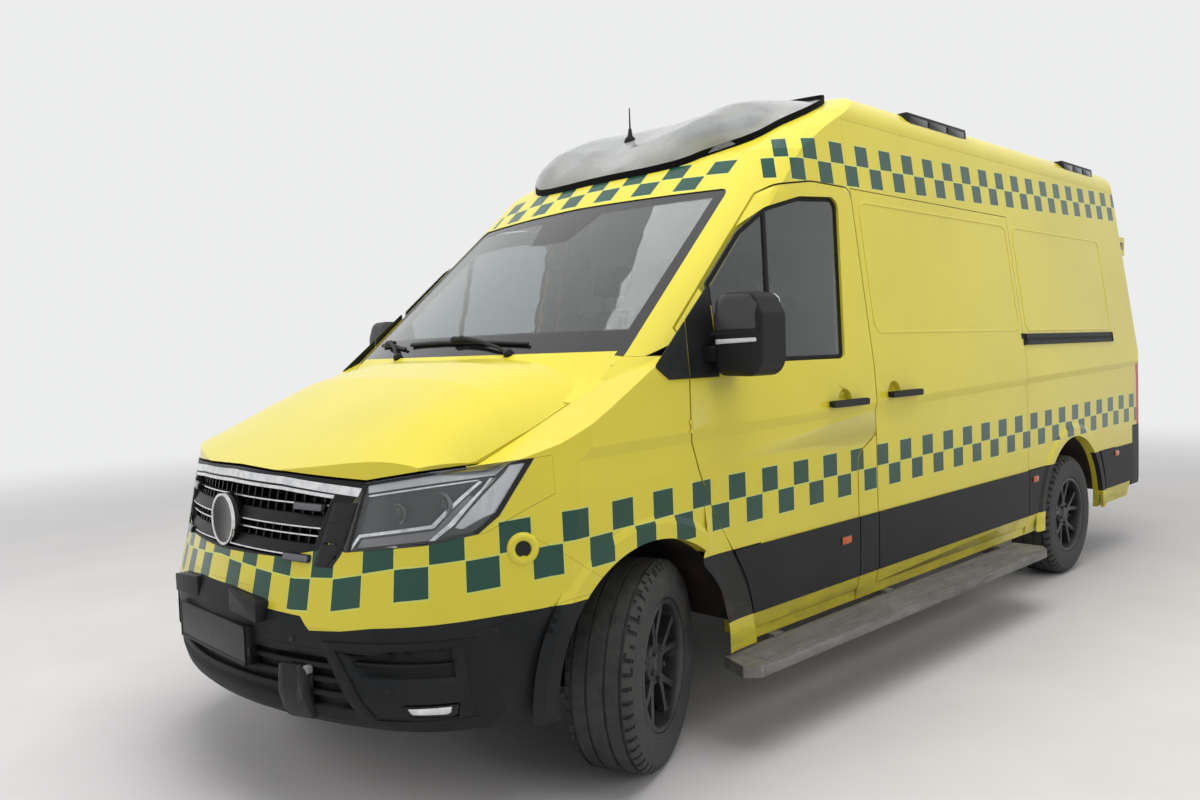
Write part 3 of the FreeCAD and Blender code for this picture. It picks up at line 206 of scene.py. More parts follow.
# Where the bumper's black part ends, by the distance from its middle: it steps up round the lamps' beds
FOOT_START = 0.694
FOOT_RISES = [(0.119, 0.297, -0.017), (0.297, 0.319, -0.027), (0.319, 0.457, -0.006), (0.457, 0.497, -0.037),
              (0.497, 0.605, 0.008), (0.605, 0.697, 0.015), (0.697, 0.889, 0.015), (0.889, 1.007, 0.013)]


def check_belt(u, v, width, height, line):
    """Masks of a two-row check belt: the green squares, and the thin line round each."""
    green = (u.math("FLOOR") + (v > 0.0)).math("FLOORED_MODULO", 2.0) < 0.5
    reach = abs(v)
    edge = (u.math("PINGPONG", 0.5) * width & reach.math("PINGPONG", 0.5) * height) < line
    squares = green * (reach < 1.0) * (1.0 - edge)
    lines = edge * (reach < 1.0 + line / height) * (green | (reach < 1.0 - line / height))
    return squares, lines


def ambulance_paint(name, black_foot=False):
    """Greenish yellow paint with the check belts, a pale lining inside, and darker, duller brownish patches low down.
    """
    f = Finish(name)
    x, y, z = f.axes()
    nx, ny, nz = f.axes("Normal")
    wide = abs(x)
    ahead = (y + 1.9) & 0.0
    behind = (y - 2.8) | 0.0

    # How far round the body from the middle of the nose a point lies
    round_nose = wide.math("ARCTAN2", ahead * -1.0) * 1.085
    along_side = ((y & 2.87) + 1.9) | 0.0
    across_back = ((0.98 - wide) | 0.0) * (y > 2.8)
    s = (round_nose & 1.70) + along_side + across_back

    # Lower belt, on the side that faces out
    first = ((s - LOW_COLUMNS[0][0]) & 0.0) / 0.168
    u = (s.steps(0.0, LOW_COLUMNS) + first) * 2.0
    v = (z - s.steps(LOW_START, LOW_RISES)) / CHECK_HEIGHT
    low_green, low_line = check_belt(u, v, 0.2, CHECK_HEIGHT, CHECK_LINE)
    out = nx * x + ny * (ahead + behind * 12.0) > 0.05

    # Upper belt: along the sides above the doors, round the cab's corner
    inset = 1.1759 - z * 0.133 - wide
    turn = y - (inset | 0.0) * 1.4
    u = (turn + 0.795) / 0.10175
    v = (z - (y * 0.030 + 2.1686)) / CHECK_HEIGHT
    high_green, high_line = check_belt(u, v, 0.2035, CHECK_HEIGHT, CHECK_LINE)
    keep = (turn > -1.19) * (wide > 0.74) * (y < 2.86) * (y > -1.16)

    # Header belt: between the windscreen and the fairing
    u = (x - 0.074) / 0.108
    v = (z - (2.100 - x * x * 0.040)) / HEADER_HEIGHT
    head_green, head_line = check_belt(u, v, 0.216, HEADER_HEIGHT, HEADER_LINE)
    brow = (wide < 0.715) * (y < -1.0) * (nz > 0.3)

    green = (low_green | high_green * keep) * out | head_green * brow
    line = (low_line | high_line * keep) * out | head_line * brow
    tone = f.mix(f.noise(1.3, 3.0).span(0.3, 0.7), YELLOW, DULLER_YELLOW)
    tone = f.mix(line, tone, KEYLINE)
    tone = f.mix(green, tone, GREEN)

    # The dark band along the sills runs on over the lips of the arches
    near_arch = (abs(y + 1.6) < 0.2) | (abs(y - 1.7) < 0.69)
    band = (abs(z - 0.560) < 0.125) * near_arch * (wide > 0.992)
    tone = f.mix(band, tone, SILL_BLACK)

    # Brownish patches darken and dull the paint more toward the foot of the body, and a faint brownish tint grows
    # from waist height down
    low_patches = f.noise(9.0, 6.0, 0.7, (1, 0.5, 2.0)).span(0.40, 0.68) * z.span(0.62, 0.30)
    low_tint = f.noise(3.0, 5.0, 0.6).span(0.35, 0.75, 0.0, 0.10) * z.span(1.3, 0.5)
    tone = f.mix(low_patches * 0.55 | low_tint, tone, LOW_BROWN)

    # The inner faces are lined in pale grey
    side_wall = (nx * x.math("SIGN") * -1.0 > 0.6) * (y > -1.7)
    ceiling = (nz < -0.5) * (z > 2.0)
    back_wall = (ny < -0.6) * (y > 2.6)
    lined = side_wall | ceiling | back_wall
    dull = low_patches | lined | band
    tone = f.mix(lined, tone, LINING)
    if black_foot:
        foot = z < wide.steps(FOOT_START, FOOT_RISES)
        dust = f.noise(4.0, 5.0).span(0.42, 0.72, 0.0, 0.3)
        tone = f.mix(foot, tone, f.mix(dust, (0.005, 0.006, 0.007), (0.040, 0.040, 0.040)))
        dull = dull | foot
    f.set(Base_Color=tone, Roughness=dull * 0.25 + 0.30, Coat_Weight=0.45 - dull * 0.45, Coat_Roughness=0.08,
          Specular_IOR_Level=0.25)
    return f.bump(f.noise(220.0, 2.0), 0.04, 0.0006)


def tinted_glass(name, tint, edge, body_rough=0.0, index=1.5):
    """Glass with a dark printed edge where edge(f) is 1."""
    f = Finish(name)
    mask = edge(f)
    dust = f.noise(60.0, 5.0, 0.7).span(0.5, 0.9, 0.0, 0.10)
    f.set(Base_Color=f.mix(mask, tint, PRINTED_BLACK), Roughness=dust * 0.3 + body_rough,
          Transmission_Weight=1.0 - (mask | dust), IOR=index)
    return f.bump(f.noise(3.0, 2.0), 0.02, 0.002)


def windscreen_edge(f):
    x, _, z = f.axes()
    frame_side = abs(x) + z * 0.1318 > 0.985
    sensor = (z > 1.86) * (abs(x) + z * -0.62 < -1.04)
    return frame_side | sensor | (z < 1.465) | (z > 1.978)


def door_glass_edge(f):
    _, y, z = f.axes()
    return abs(y - z * 0.142 + 1.478) < 0.014


def no_edge(f):
    return f.axes()[2] * 0.0


def smoked_fairing():
    f = Finish("smoked_fairing")
    haze = f.noise(3.5, 5.0, 0.6).span(0.3, 0.75)
    f.set(Base_Color=f.mix(haze, (0.50, 0.515, 0.52), (0.66, 0.67, 0.68)), IOR=1.42,
          Transmission_Weight=haze.span(0.0, 1.0, 0.80, 0.60), Roughness=haze.span(0.0, 1.0, 0.08, 0.22))
    return f.bump(f.noise(8.0, 3.0), 0.05, 0.004)


def bare_alloy():
    """Worn aluminium tread plate, dull with dirt and bright along its scuffs."""
    f = Finish("worn_step_alloy")
    dirt = f.noise(7.0, 7.0, 0.75, (1, 0.35, 1)).span(0.36, 0.66)
    scratch = f.noise(60.0, 3.0, 0.6, (1, 0.08, 1)).span(0.52, 0.66, 0.0, 0.6)
    tone = f.mix(dirt, (0.20, 0.197, 0.190), (0.125, 0.120, 0.110))
    f.set(Base_Color=f.mix(scratch * 0.6, tone, (0.30, 0.295, 0.285)), Metallic=0.35,
          Roughness=dirt.span(0.0, 1.0, 0.42, 0.78))
    return f.bump(f.noise(300.0, 4.0), 0.35, 0.0006)


def painted_alloy():
    f = Finish("rim_dark_alloy")
    dust = f.noise(16.0, 6.0, 0.7).span(0.42, 0.75, 0.0, 0.45)
    f.set(Base_Color=f.mix(dust, (0.045, 0.046, 0.048), (0.15, 0.14, 0.125)), Metallic=0.5,
          Roughness=dust.span(0.0, 0.45, 0.30, 0.62))
    return f.bump(f.noise(420.0, 2.0), 0.08, 0.0004)


def tyre_rubber():
    """Rubber, greyed on the tread by the road."""
    f = Finish("tyre_rubber")
    dust = f.noise(24.0, 6.0, 0.7).span(0.35, 0.75)
    f.set(Base_Color=f.mix(dust, (0.022, 0.022, 0.023), (0.062, 0.060, 0.056)), Roughness=dust.span(0, 1, 0.62, 0.85))
    return f.bump(f.noise(500.0, 3.0), 0.3, 0.0005)


def bright_strip():
    f = Finish("bright_strip")
    return f.set(Base_Color=f.mix(f.noise(30.0, 4.0).span(0.4, 0.7), (0.80, 0.80, 0.81), (0.55, 0.56, 0.58)),
                 Metallic=1.0, Roughness=f.noise(90.0, 3.0).span(0.3, 0.8, 0.10, 0.22))


def lamp_lens(name, tint, ribs, clear=0.95):
    f = Finish(name)
    wave = f.node("ShaderNodeTexWave", (f.place["Object"],), bands_direction="Z")
    wave.inputs["Scale"].default_value = ribs
    f.set(Base_Color=f.mix(f.noise(6.0, 3.0).span(0.3, 0.7, 0.0, 0.3), tint, dimmed(tint)),
          Transmission_Weight=clear, Roughness=0.04, IOR=1.45)
    return f.bump(wave.outputs["Fac"], 0.08, 0.001)


def fabric(name, colour):
    f = Finish(name)
    f.set(Base_Color=f.mix(f.noise(5.0, 4.0).span(0.3, 0.7, 0.0, 0.4), colour, dimmed(colour)), Roughness=0.92,
          Sheen_Weight=0.25)
    return f.bump(f.noise(600.0, 2.0, 0.6), 0.5, 0.0008)


def rusty_cast(name, colour, rust):
    f = Finish(name)
    share = f.noise(14.0, 7.0, 0.7).span(0.42, 0.68, 0.0, rust)
    f.set(Base_Color=f.mix(share, colour, RUST), Metallic=0.4, Roughness=share.span(0.0, 1.0, 0.5, 0.9))
    return f.bump(f.noise(120.0, 5.0), 0.4, 0.001)


def scratched_black():
    """Black plastic scraped pale in short streaks."""
    f = Finish("scratched_black_plastic")
    streak = f.noise(34.0, 5.0, 0.75, (1, 1, 0.25)).span(0.56, 0.68)
    dust = f.noise(9.0, 4.0).span(0.45, 0.75, 0.0, 0.3)
    tone = f.mix(dust, (0.007, 0.0075, 0.008), (0.030, 0.030, 0.030))
    f.set(Base_Color=f.mix(streak * 0.25, tone, (0.25, 0.25, 0.24)), Specular_IOR_Level=0.25,
          Roughness=streak.span(0.0, 1.0, 0.35, 0.7))
    return f.bump(f.noise(160.0, 4.0), 0.25, 0.0005)


def silvered():
    f = Finish("mirror_glass")
    return f.set(Base_Color=f.mix(f.noise(5.0, 3.0).span(0.4, 0.7, 0.0, 0.4), (0.86, 0.87, 0.88), (0.70, 0.71, 0.72)),
                 Metallic=1.0, Roughness=f.noise(40.0, 4.0).span(0.5, 0.9, 0.02, 0.12))


PAINT = ambulance_paint("yellow_paint_with_checks")
NOSE_PAINT = ambulance_paint("bumper_yellow_over_black", True)
PAINT_PLAIN = moulded("boss_yellow_paint", YELLOW, 0.3, 200.0, 0.0003, 0.05, 0.1)
BLACK = moulded("black_grained_plastic", (0.0065, 0.007, 0.008), 0.42, dust=0.15, shine=0.22)
BAND = moulded("dark_cladding", (0.010, 0.011, 0.012), 0.50, dust=0.30, shine=0.22)
GLOSS = moulded("black_gloss_plastic", (0.005, 0.005, 0.006), 0.16, 400.0, 0.0002, 0.05, 0.08, 0.35)
SEAL = moulded("seal_rubber", (0.006, 0.006, 0.0065), 0.58, 500.0, dust=0.12, shine=0.15)
DASH = moulded("dashboard_plastic", (0.030, 0.030, 0.032), 0.6, 700.0)
WALLS = moulded("pale_wall_lining", (0.50, 0.50, 0.48), 0.5, 400.0, 0.0003, 0.2, 0.12)
FLOOR = moulded("grey_floor_vinyl", (0.16, 0.17, 0.18), 0.5, 300.0)
FABRIC = fabric("seat_fabric", (0.030, 0.031, 0.036))
RIM = painted_alloy()
RUBBER = tyre_rubber()
CHASSIS = rusty_cast("chassis_black", (0.022, 0.022, 0.022), 0.6)
CAST = rusty_cast("cast_iron_parts", (0.055, 0.052, 0.05), 0.8)
ENGINE = rusty_cast("engine_alloy", (0.22, 0.22, 0.22), 0.3)
PIPE = rusty_cast("exhaust_steel", (0.20, 0.18, 0.16), 0.7)
STEP = bare_alloy()
BRIGHT = bright_strip()
SCREEN = tinted_glass("windscreen_glass", (0.62, 0.66, 0.65), windscreen_edge, 0.0, 1.75)
SIDE_GLASS = tinted_glass("door_window_glass", (0.36, 0.40, 0.41), door_glass_edge, 0.0, 1.6)
REAR_GLASS = tinted_glass("rear_window_glass", (0.12, 0.13, 0.14), no_edge, 0.05, 1.55)
SMOKED = smoked_fairing()
CLEAR_LENS = lamp_lens("clear_lamp_lens", (0.93, 0.95, 0.96), 0.0, 1.0)
RED_LENS = lamp_lens("red_lamp_lens", (0.62, 0.012, 0.010), 90.0, 0.35)
AMBER_LENS = lamp_lens("amber_marker_lens", (0.80, 0.13, 0.012), 120.0, 0.30)
BLUE_DARK = lamp_lens("dark_beacon_lens", (0.035, 0.038, 0.045), 60.0, 0.5)
STROBE_LENS = lamp_lens("strobe_lens", (0.22, 0.23, 0.25), 140.0, 0.45)
CLEAR_STRIP = lamp_lens("clear_indicator_lens", (0.82, 0.84, 0.86), 260.0, 0.25)
PALE_LENS = lamp_lens("reversing_lamp_lens", (0.80, 0.82, 0.84), 120.0, 0.3)
LAMP_GUIDE = lamp_lens("lower_light_guide", (0.30, 0.29, 0.30), 200.0, 0.2)
SCRATCHED = scratched_black()
PALE = moulded("pale_reflector", (0.72, 0.73, 0.74), 0.22, 500.0, 0.0002, 0.1, 0.1)
CHROME_DARK = moulded("dark_reflector", (0.14, 0.145, 0.15), 0.12, 300.0, 0.0002, 0.05, 0.05)
DEEP = moulded("shadow_gap", (0.006, 0.006, 0.006), 0.8, 300.0)
MIRROR_CAP = moulded("mirror_cap_gloss", (0.030, 0.030, 0.032), 0.24, 500.0, 0.0002, 0.08, 0.15)
MODULE = moulded("grey_module", (0.20, 0.205, 0.21), 0.45, 300.0)
SILVERED = silvered()
LAMP_DARK = moulded("lamp_inside_dark", (0.035, 0.037, 0.040), 0.28, 300.0, 0.0003, 0.1, 0.1)

for material, names in (
        (NOSE_PAINT, "front_bumper"),
        (PAINT, "bonnet fenders sliding_doors rear_quarters upper_sides roof_panel cab_frame side_frames "
                "front_door_left front_door_right rear_door_left rear_door_right"),
        (BLACK, "bumper_lower rear_bumper mirror_left mirror_right wipers roof_lamps grille"),
        (BAND, "door_trim_left door_trim_right side_cladding"),
        (CLEAR_LENS, "headlamps"), (RED_LENS, "tail_lamps"), (SCREEN, "windscreen"),
        (SIDE_GLASS, "door_glass_left door_glass_right"), (REAR_GLASS, "rear_glass_left rear_glass_right"),
        (SMOKED, "roof_dome"), (SEAL, "dome_seal"),
        (RIM, "rim_front_left rim_front_right rim_rear_left rim_rear_right"),
        (RUBBER, "tyre_front_left tyre_front_right tyre_rear_left tyre_rear_right"),
        (CAST, "knuckle_left knuckle_right rear_axle"),
        (CHASSIS, "front_subframe chassis_frame fuel_tank wheel_housings"), (ENGINE, "engine_block"),
        (PIPE, "exhaust"), (FLOOR, "floor_pan"), (DASH, "cowl dashboard steering_wheel"), (FABRIC, "seats"),
        (WALLS, "bulkhead"), (STEP, "side_steps")):
    for name in names.split():
        for slot in nodes[name].material_slots:
            slot.material = material


# Making and placing pieces

def mm(*values):
    """Points from pairs of millimetres."""
    return [(u / 1000, v / 1000) for u, v in zip(values[::2], values[1::2])]


def sheet_mm(low_u, low_v, high_u, high_v):
    """A rectangle's corners from two of them, in millimetres."""
    return mm(low_u, low_v, high_u, low_v, high_u, high_v, low_u, high_v)


def piece(name, bm, material, body="van_body", smooth=40.0):
    """The mesh bm as a finished object that rides on a body."""
    mesh = bpy.data.meshes.new(name)
    bm.to_mesh(mesh)
    bm.free()
    mesh.materials.append(material)
    for face in mesh.polygons:
        face.use_smooth = True
    mesh.set_sharp_from_angle(angle=math.radians(smooth))
    made = bpy.data.objects.new(name, mesh)
    bpy.context.scene.collection.objects.link(made)
    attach(made, body)
    return made


def block(bm, low, high):
    """A box between two corners, added to bm; its vertices are returned."""
    size = [b - a for a, b in zip(low, high)]
    middle = [(a + b) / 2 for a, b in zip(low, high)]
    place = Matrix.Translation(middle) @ Matrix.Diagonal((*size, 1))
    return bmesh.ops.create_cube(bm, size=1.0, matrix=place)["verts"]


def bevel_all(bm, width, segments=2, angle=30.0):
    edges = [e for e in bm.edges if len(e.link_faces) == 2 and e.calc_face_angle(0) > math.radians(angle)]
    bmesh.ops.bevel(bm, geom=edges, offset=width, offset_type="OFFSET", affect="EDGES", segments=segments,
                    profile=0.5, material=-1, clamp_overlap=True)


def spun(bm, profile, steps):
    """A profile of (along, radius) points spun about the x axis."""
    verts = [bm.verts.new((along, 0, radius)) for along, radius in profile]
    edges = [bm.edges.new(pair) for pair in zip(verts, verts[1:])]
    bmesh.ops.spin(bm, geom=verts + edges, cent=(0, 0, 0), axis=(1, 0, 0), angle=math.tau, steps=steps,
                   use_merge=True)
    bmesh.ops.remove_doubles(bm, verts=bm.verts, dist=1e-6)
    bmesh.ops.recalc_face_normals(bm, faces=bm.faces)


def mirror_x(bm):
    bmesh.ops.scale(bm, vec=(-1, 1, 1), verts=bm.verts)
    bmesh.ops.reverse_faces(bm, faces=bm.faces)


def sided(bm, sign):
    """A copy of a left-hand mesh for the left side (1) or the right side (-1)."""
    half = bm.copy()
    if sign < 0:
        mirror_x(half)
    return half


def both(name, bm, material, body="van_body"):
    """A left piece and its mirror image; SIDE in the body's name becomes left or right."""
    for side, sign in BOTH:
        piece("%s_%s" % (name, side), sided(bm, sign), material, body.replace("SIDE", side))
    bm.free()


def joined(*parts):
    """Several meshes as one."""
    whole = parts[0]
    for part in parts[1:]:
        mesh = bpy.data.meshes.new("part")
        part.to_mesh(mesh)
        part.free()
        whole.from_mesh(mesh)
        bpy.data.meshes.remove(mesh)
    return whole


def drawn_out(bm, faces, move):
    """Faces drawn out by a move, leaving the first ones where they are; the vertices that moved are returned."""
    made = bmesh.ops.extrude_face_region(bm, geom=faces)["geom"]
    verts = [g for g in made if isinstance(g, bmesh.types.BMVert)]
    bmesh.ops.translate(bm, vec=move, verts=verts)
    return verts


def face_up(bm):
    """Turns an open sheet's faces over where they look down on the whole."""
    if sum(f.normal.z for f in bm.faces) < 0:
        bmesh.ops.reverse_faces(bm, faces=bm.faces)


# Wheels

def wheel_place(axle, sign):
    """Where a wheel made about the X axis at the origin goes, steered at the front."""
    y = FRONT_AXLE if axle == "front" else REAR_AXLE
    place = Matrix.Translation((sign * WHEEL_X, y, HUB_Z))
    if axle == "front":
        pin = Vector((sign * KINGPIN_X, FRONT_AXLE, 0))
        place = Matrix.Translation(pin) @ Matrix.Rotation(REST_STEER, 4, "Z") @ Matrix.Translation(-pin) @ place
    return place


def tyre_mesh():
    """Ribbed road tyre: four grooves round it, and cut shoulders."""
    bm = bmesh.new()
    h = TYRE_HALF
    groove = 0.0075
    steps = 150
    ribs = [-0.0865, -0.076, -0.034, -0.026, 0.026, 0.034, 0.076, 0.0865]
    tread = []
    for i in range(0, len(ribs), 2):
        a, b = ribs[i], ribs[i + 1]
        crown = 0.3475 - 0.0025 * (a / 0.09) ** 2
        tread += [(a - 0.0006, crown), (a + 0.001, crown - groove), (b - 0.001, crown - groove), (b + 0.0006, crown)]
    left = [(-h + 0.0155, 0.2165), (-h + 0.006, 0.2205), (-h + 0.0025, 0.232), (-h + 0.0045, 0.2345),
            (-h + 0.0005, 0.262), (-h + 0.0012, 0.300), (-h + 0.0055, 0.318), (-h + 0.011, 0.330),
            (-h + 0.0155, 0.3365), (-h + 0.022, 0.3405)]
    right = [(-a, r) for a, r in reversed(left)]
    profile = [(-h + 0.0155, 0.2072)] + left + tread + right + [(h - 0.0155, 0.2072)]
    spun(bm, profile, steps)
    shoulder = []
    for face in bm.faces:
        middle = face.calc_center_median()
        radius = math.hypot(middle.y, middle.z)
        turn = int(round(math.atan2(middle.z, middle.y) / math.tau * steps - 0.5)) % 3
        if turn == 0 and abs(middle.x) > 0.0885 and radius > 0.322:
            shoulder.append(face)
    bmesh.ops.inset_individual(bm, faces=shoulder, thickness=0.0014, depth=-0.0050, use_even_offset=True)
    bmesh.ops.recalc_face_normals(bm, faces=bm.faces)
    return bm


def spoke(bm, angle, lean):
    """One arm, from the hub out to the barrel, leaning toward its twin at the hub."""
    rows = [(0.052, 0.021, 0.0, 0.034), (0.085, 0.0135, 0.3, 0.036), (0.130, 0.011, 0.7, 0.033),
            (0.170, 0.0115, 0.92, 0.030), (0.202, 0.016, 1.0, 0.034)]
    made, edges = [], []
    for radius, half, share, depth in rows:
        side = lean * share
        front = RIM_FACE + 0.004 + 0.010 * (radius - 0.05) / 0.15
        corners = [(front - 0.004, -half), (front, -half * 0.45), (front, half * 0.45), (front - 0.004, half),
                   (front - depth, half * 0.8), (front - depth, -half * 0.8)]
        ring = [bm.verts.new((x, math.sin(side) * radius + y * math.cos(side),
                              math.cos(side) * radius - y * math.sin(side))) for x, y in corners]
        made += ring
        edges.append([bm.edges.new((ring[i], ring[(i + 1) % 6])) for i in range(6)])
    for a, b in zip(edges, edges[1:]):
        bmesh.ops.bridge_loops(bm, edges=a + b)
    bmesh.ops.rotate(bm, cent=(0, 0, 0), matrix=Matrix.Rotation(angle, 3, "X"), verts=made)


def rim_mesh():
    """Ten-arm dark alloy rim, its arms in five pairs, with bolts and a plain hub cap."""
    bm = bmesh.new()
    h = TYRE_HALF
    r = RIM_RADIUS
    profile = [(-h + 0.015, r - 0.002), (-h + 0.010, r + 0.008), (-h + 0.006, r + 0.0085), (-h + 0.006, r - 0.004),
               (-h + 0.03, r - 0.010), (0.02, r - 0.016), (h - 0.035, r - 0.010), (h - 0.016, r - 0.0105),
               (h - 0.0075, r - 0.0045), (h - 0.0068, r + 0.006), (h - 0.009, r + 0.0095), (h - 0.0145, r + 0.0085),
               (h - 0.0145, r - 0.001)]
    spun(bm, profile + [(0.0, r - 0.003), profile[0]], 96)
    for pair in range(5):
        for lean in (-1, 1):
            spoke(bm, math.tau * pair / 5, lean * math.radians(15.5))
    face = RIM_FACE
    hub = bmesh.new()
    spun(hub, [(face - 0.045, 0.0005), (face - 0.045, 0.070), (face - 0.004, 0.072), (face + 0.004, 0.066),
               (face + 0.006, 0.036), (face + 0.012, 0.0325), (face + 0.0135, 0.0285), (face + 0.0125, 0.0005)], 48)
    for i in range(5):
        bmesh.ops.create_cone(hub, cap_ends=True, segments=6, radius1=0.0095, radius2=0.0085, depth=0.016,
                              matrix=Matrix.Rotation(math.tau * (i + 0.5) / 5, 4, "X") @
                              Matrix.Translation((face + 0.008, 0, 0.051)) @ Matrix.Rotation(math.pi / 2, 4, "Y"))
    joined(bm, hub)
    bmesh.ops.recalc_face_normals(bm, faces=bm.faces)
    return bm


def brake_mesh():
    bm = bmesh.new()
    face = RIM_FACE
    spun(bm, [(face - 0.078, 0.030), (face - 0.078, 0.150), (face - 0.070, 0.152), (face - 0.060, 0.152),
              (face - 0.052, 0.150), (face - 0.052, 0.090), (face - 0.034, 0.086), (face - 0.034, 0.030)], 64)
    return bm


def dress_wheels():
    for axle in ("front", "rear"):
        for side, sign in BOTH:
            body = "wheel_%s_%s" % (axle, side)
            for kind, mesh, material, slot in (("tyre", tyre_mesh(), RUBBER, "tyre_rubber"),
                                               ("rim", rim_mesh(), RIM, "rim_paint"),
                                               ("brake_disc", brake_mesh(), CAST, "cast_parts")):
                if sign < 0:
                    mirror_x(mesh)
                bmesh.ops.transform(mesh, matrix=wheel_place(axle, sign), verts=mesh.verts)
                made = piece("%s_%s_%s_look" % (kind, axle, side), mesh, material, body)
                if kind != "brake_disc":
                    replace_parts(made, "%s_%s_%s" % (kind, axle, side))


dress_wheels()


# Laying pieces on the body

LOOKS = {"front": ((1, 0, 0), (0, 0, 1), (0, 1, 0)), "back": ((1, 0, 0), (0, 0, 1), (0, -1, 0)),
         "left": ((0, 1, 0), (0, 0, 1), (-1, 0, 0)), "top": ((1, 0, 0), (0, 1, 0), (0, 0, -1)),
         "inside": ((0, 1, 0), (0, 0, 1), (1, 0, 0))}


def skin(*names):
    """The surface of some nodes, for pieces to be seated on."""
    bm = bmesh.new()
    for name in names:
        bm.from_mesh(nodes[name].data)
    tree = BVHTree.FromBMesh(bm)
    bm.free()
    return tree


def rounded(bm, face, radius):
    """The outline of a face with all its corners rounded."""
    bmesh.ops.bevel(bm, geom=face.verts[:], offset=radius, offset_type="OFFSET", affect="VERTICES", segments=4,
                    profile=0.5, material=-1, clamp_overlap=True)


def laid(outline, on, look, thick=0.002, sunk=0.0015, step=0.03, radius=0.0, ring=0.0, edge=0.0, flat=False,
         start=3.5, lean=0.0):
    """A plate whose outline is given as seen in a view, laid on a surface and following it."""
    right, up, ahead = (Vector(axis) for axis in LOOKS[look])
    bm = bmesh.new()
    face = bm.faces.new([bm.verts.new(right * u + up * v - ahead * start) for u, v in outline])
    if radius:
        rounded(bm, face, radius)
    if ring:
        hole = bm.faces[:]
        bmesh.ops.inset_region(bm, faces=hole, thickness=ring, use_boundary=True, use_even_offset=True)
        bmesh.ops.delete(bm, geom=hole, context="FACES")
    for axis in (right, up):
        reach = [v.co.dot(axis) for v in bm.verts]
        low, high = min(reach), max(reach)
        count = int((high - low) / step)
        for i in range(1, count + 1):
            where = axis * (low + (high - low) * i / (count + 1)) - ahead * start
            bmesh.ops.bisect_plane(bm, geom=bm.verts[:] + bm.edges[:] + bm.faces[:], plane_co=where, plane_no=axis)
    depths = []
    for v in bm.verts:
        hit = on.ray_cast(v.co, ahead)[0]
        depths.append(hit.dot(ahead) if hit else None)
    known = [d for d in depths if d is not None]
    for v, depth in zip(bm.verts, depths):
        depth = min(known) if flat else (depth if depth is not None else max(known))
        v.co += ahead * (depth - v.co.dot(ahead) + sunk)
    top = drawn_out(bm, bm.faces[:], ahead * -(thick + sunk))
    if lean:
        foot = min(v.co.dot(up) for v in top)
        for v in top:
            v.co += ahead * lean * (v.co.dot(up) - foot)
    bmesh.ops.recalc_face_normals(bm, faces=bm.faces)
    if edge:
        bevel_all(bm, edge, 2, 50.0)
    return bm


def copy_of(*names, half=False):
    """The merged mesh of some nodes, or only its left half."""
    bm = bmesh.new()
    for name in names:
        bm.from_mesh(nodes[name].data)
    bmesh.ops.remove_doubles(bm, verts=bm.verts, dist=1e-5)
    if half:
        bmesh.ops.delete(bm, geom=[v for v in bm.verts if v.co.x < 0], context="VERTS")
    return bm


def sunk_in(bm, outline, look, depth):
    """A convex outline, as seen in a view, pressed into the outer face of a mesh."""
    right, up, ahead = (Vector(axis) for axis in LOOKS[look])
    corners = [right * u + up * v for u, v in outline]
    area = sum(a[0] * b[1] - b[0] * a[1] for a, b in zip(outline, outline[1:] + outline[:1]))
    sides = [(a, (b - a).cross(ahead) * (-1 if area > 0 else 1)) for a, b in zip(corners, corners[1:] + corners[:1])]
    low_u, high_u = min(u for u, v in outline), max(u for u, v in outline)
    low_v, high_v = min(v for u, v in outline), max(v for u, v in outline)

    def near(face):
        us = [v.co.dot(right) for v in face.verts]
        vs = [v.co.dot(up) for v in face.verts]
        return (face.normal.dot(ahead) < -0.15 and max(us) > low_u and min(us) < high_u and max(vs) > low_v
                and min(vs) < high_v)

    bm.normal_update()
    for place, normal in sides:
        faces = [f for f in bm.faces if near(f)]
        geom = {e for f in faces for e in f.edges} | {v for f in faces for v in f.verts} | set(faces)
        bmesh.ops.bisect_plane(bm, geom=list(geom), plane_co=place, plane_no=normal)
        bm.normal_update()
    inside = [f for f in bm.faces if f.normal.dot(ahead) < -0.15
              and all((f.calc_center_median() - place).dot(normal) < 0 for place, normal in sides)]
    drawn_out(bm, inside, ahead * depth)
    bmesh.ops.delete(bm, geom=inside, context="FACES")


def slab(low, high, edge=0.003, segments=2):
    """A block between two corners with rounded edges."""
    bm = bmesh.new()
    block(bm, low, high)
    bevel_all(bm, edge, segments)
    return bm


def turned(profile, steps, place, toward):
    """A profile of (along, radius) spun about its axis, set at a place and pointing along a direction."""
    bm = bmesh.new()
    spun(bm, profile, steps)
    turn = Vector((1, 0, 0)).rotation_difference(Vector(toward)).to_matrix().to_4x4()
    bmesh.ops.transform(bm, matrix=Matrix.Translation(place) @ turn, verts=bm.verts)
    return bm


def mirrored_line(half):
    """The left half of a line in a front view, from the middle outward, run across from the right."""
    return [(-u, v) for u, v in reversed(half) if u > 0] + half


# Nose: grille strips, blank disc, marker lamps, lower bumper fittings

GRILLE_MIDDLE = (0, -2.925, 0.887)
GRILLE_TOWARD = (0, -1, 0.04)


def across(first, second, half):
    """The outline of a strip across the nose between two heights, its ends a little lower than its middle."""
    return (mirrored_line([(0.0, first), (half, first - 0.006)])
            + mirrored_line([(0.0, second), (half, second - 0.006)])[::-1])


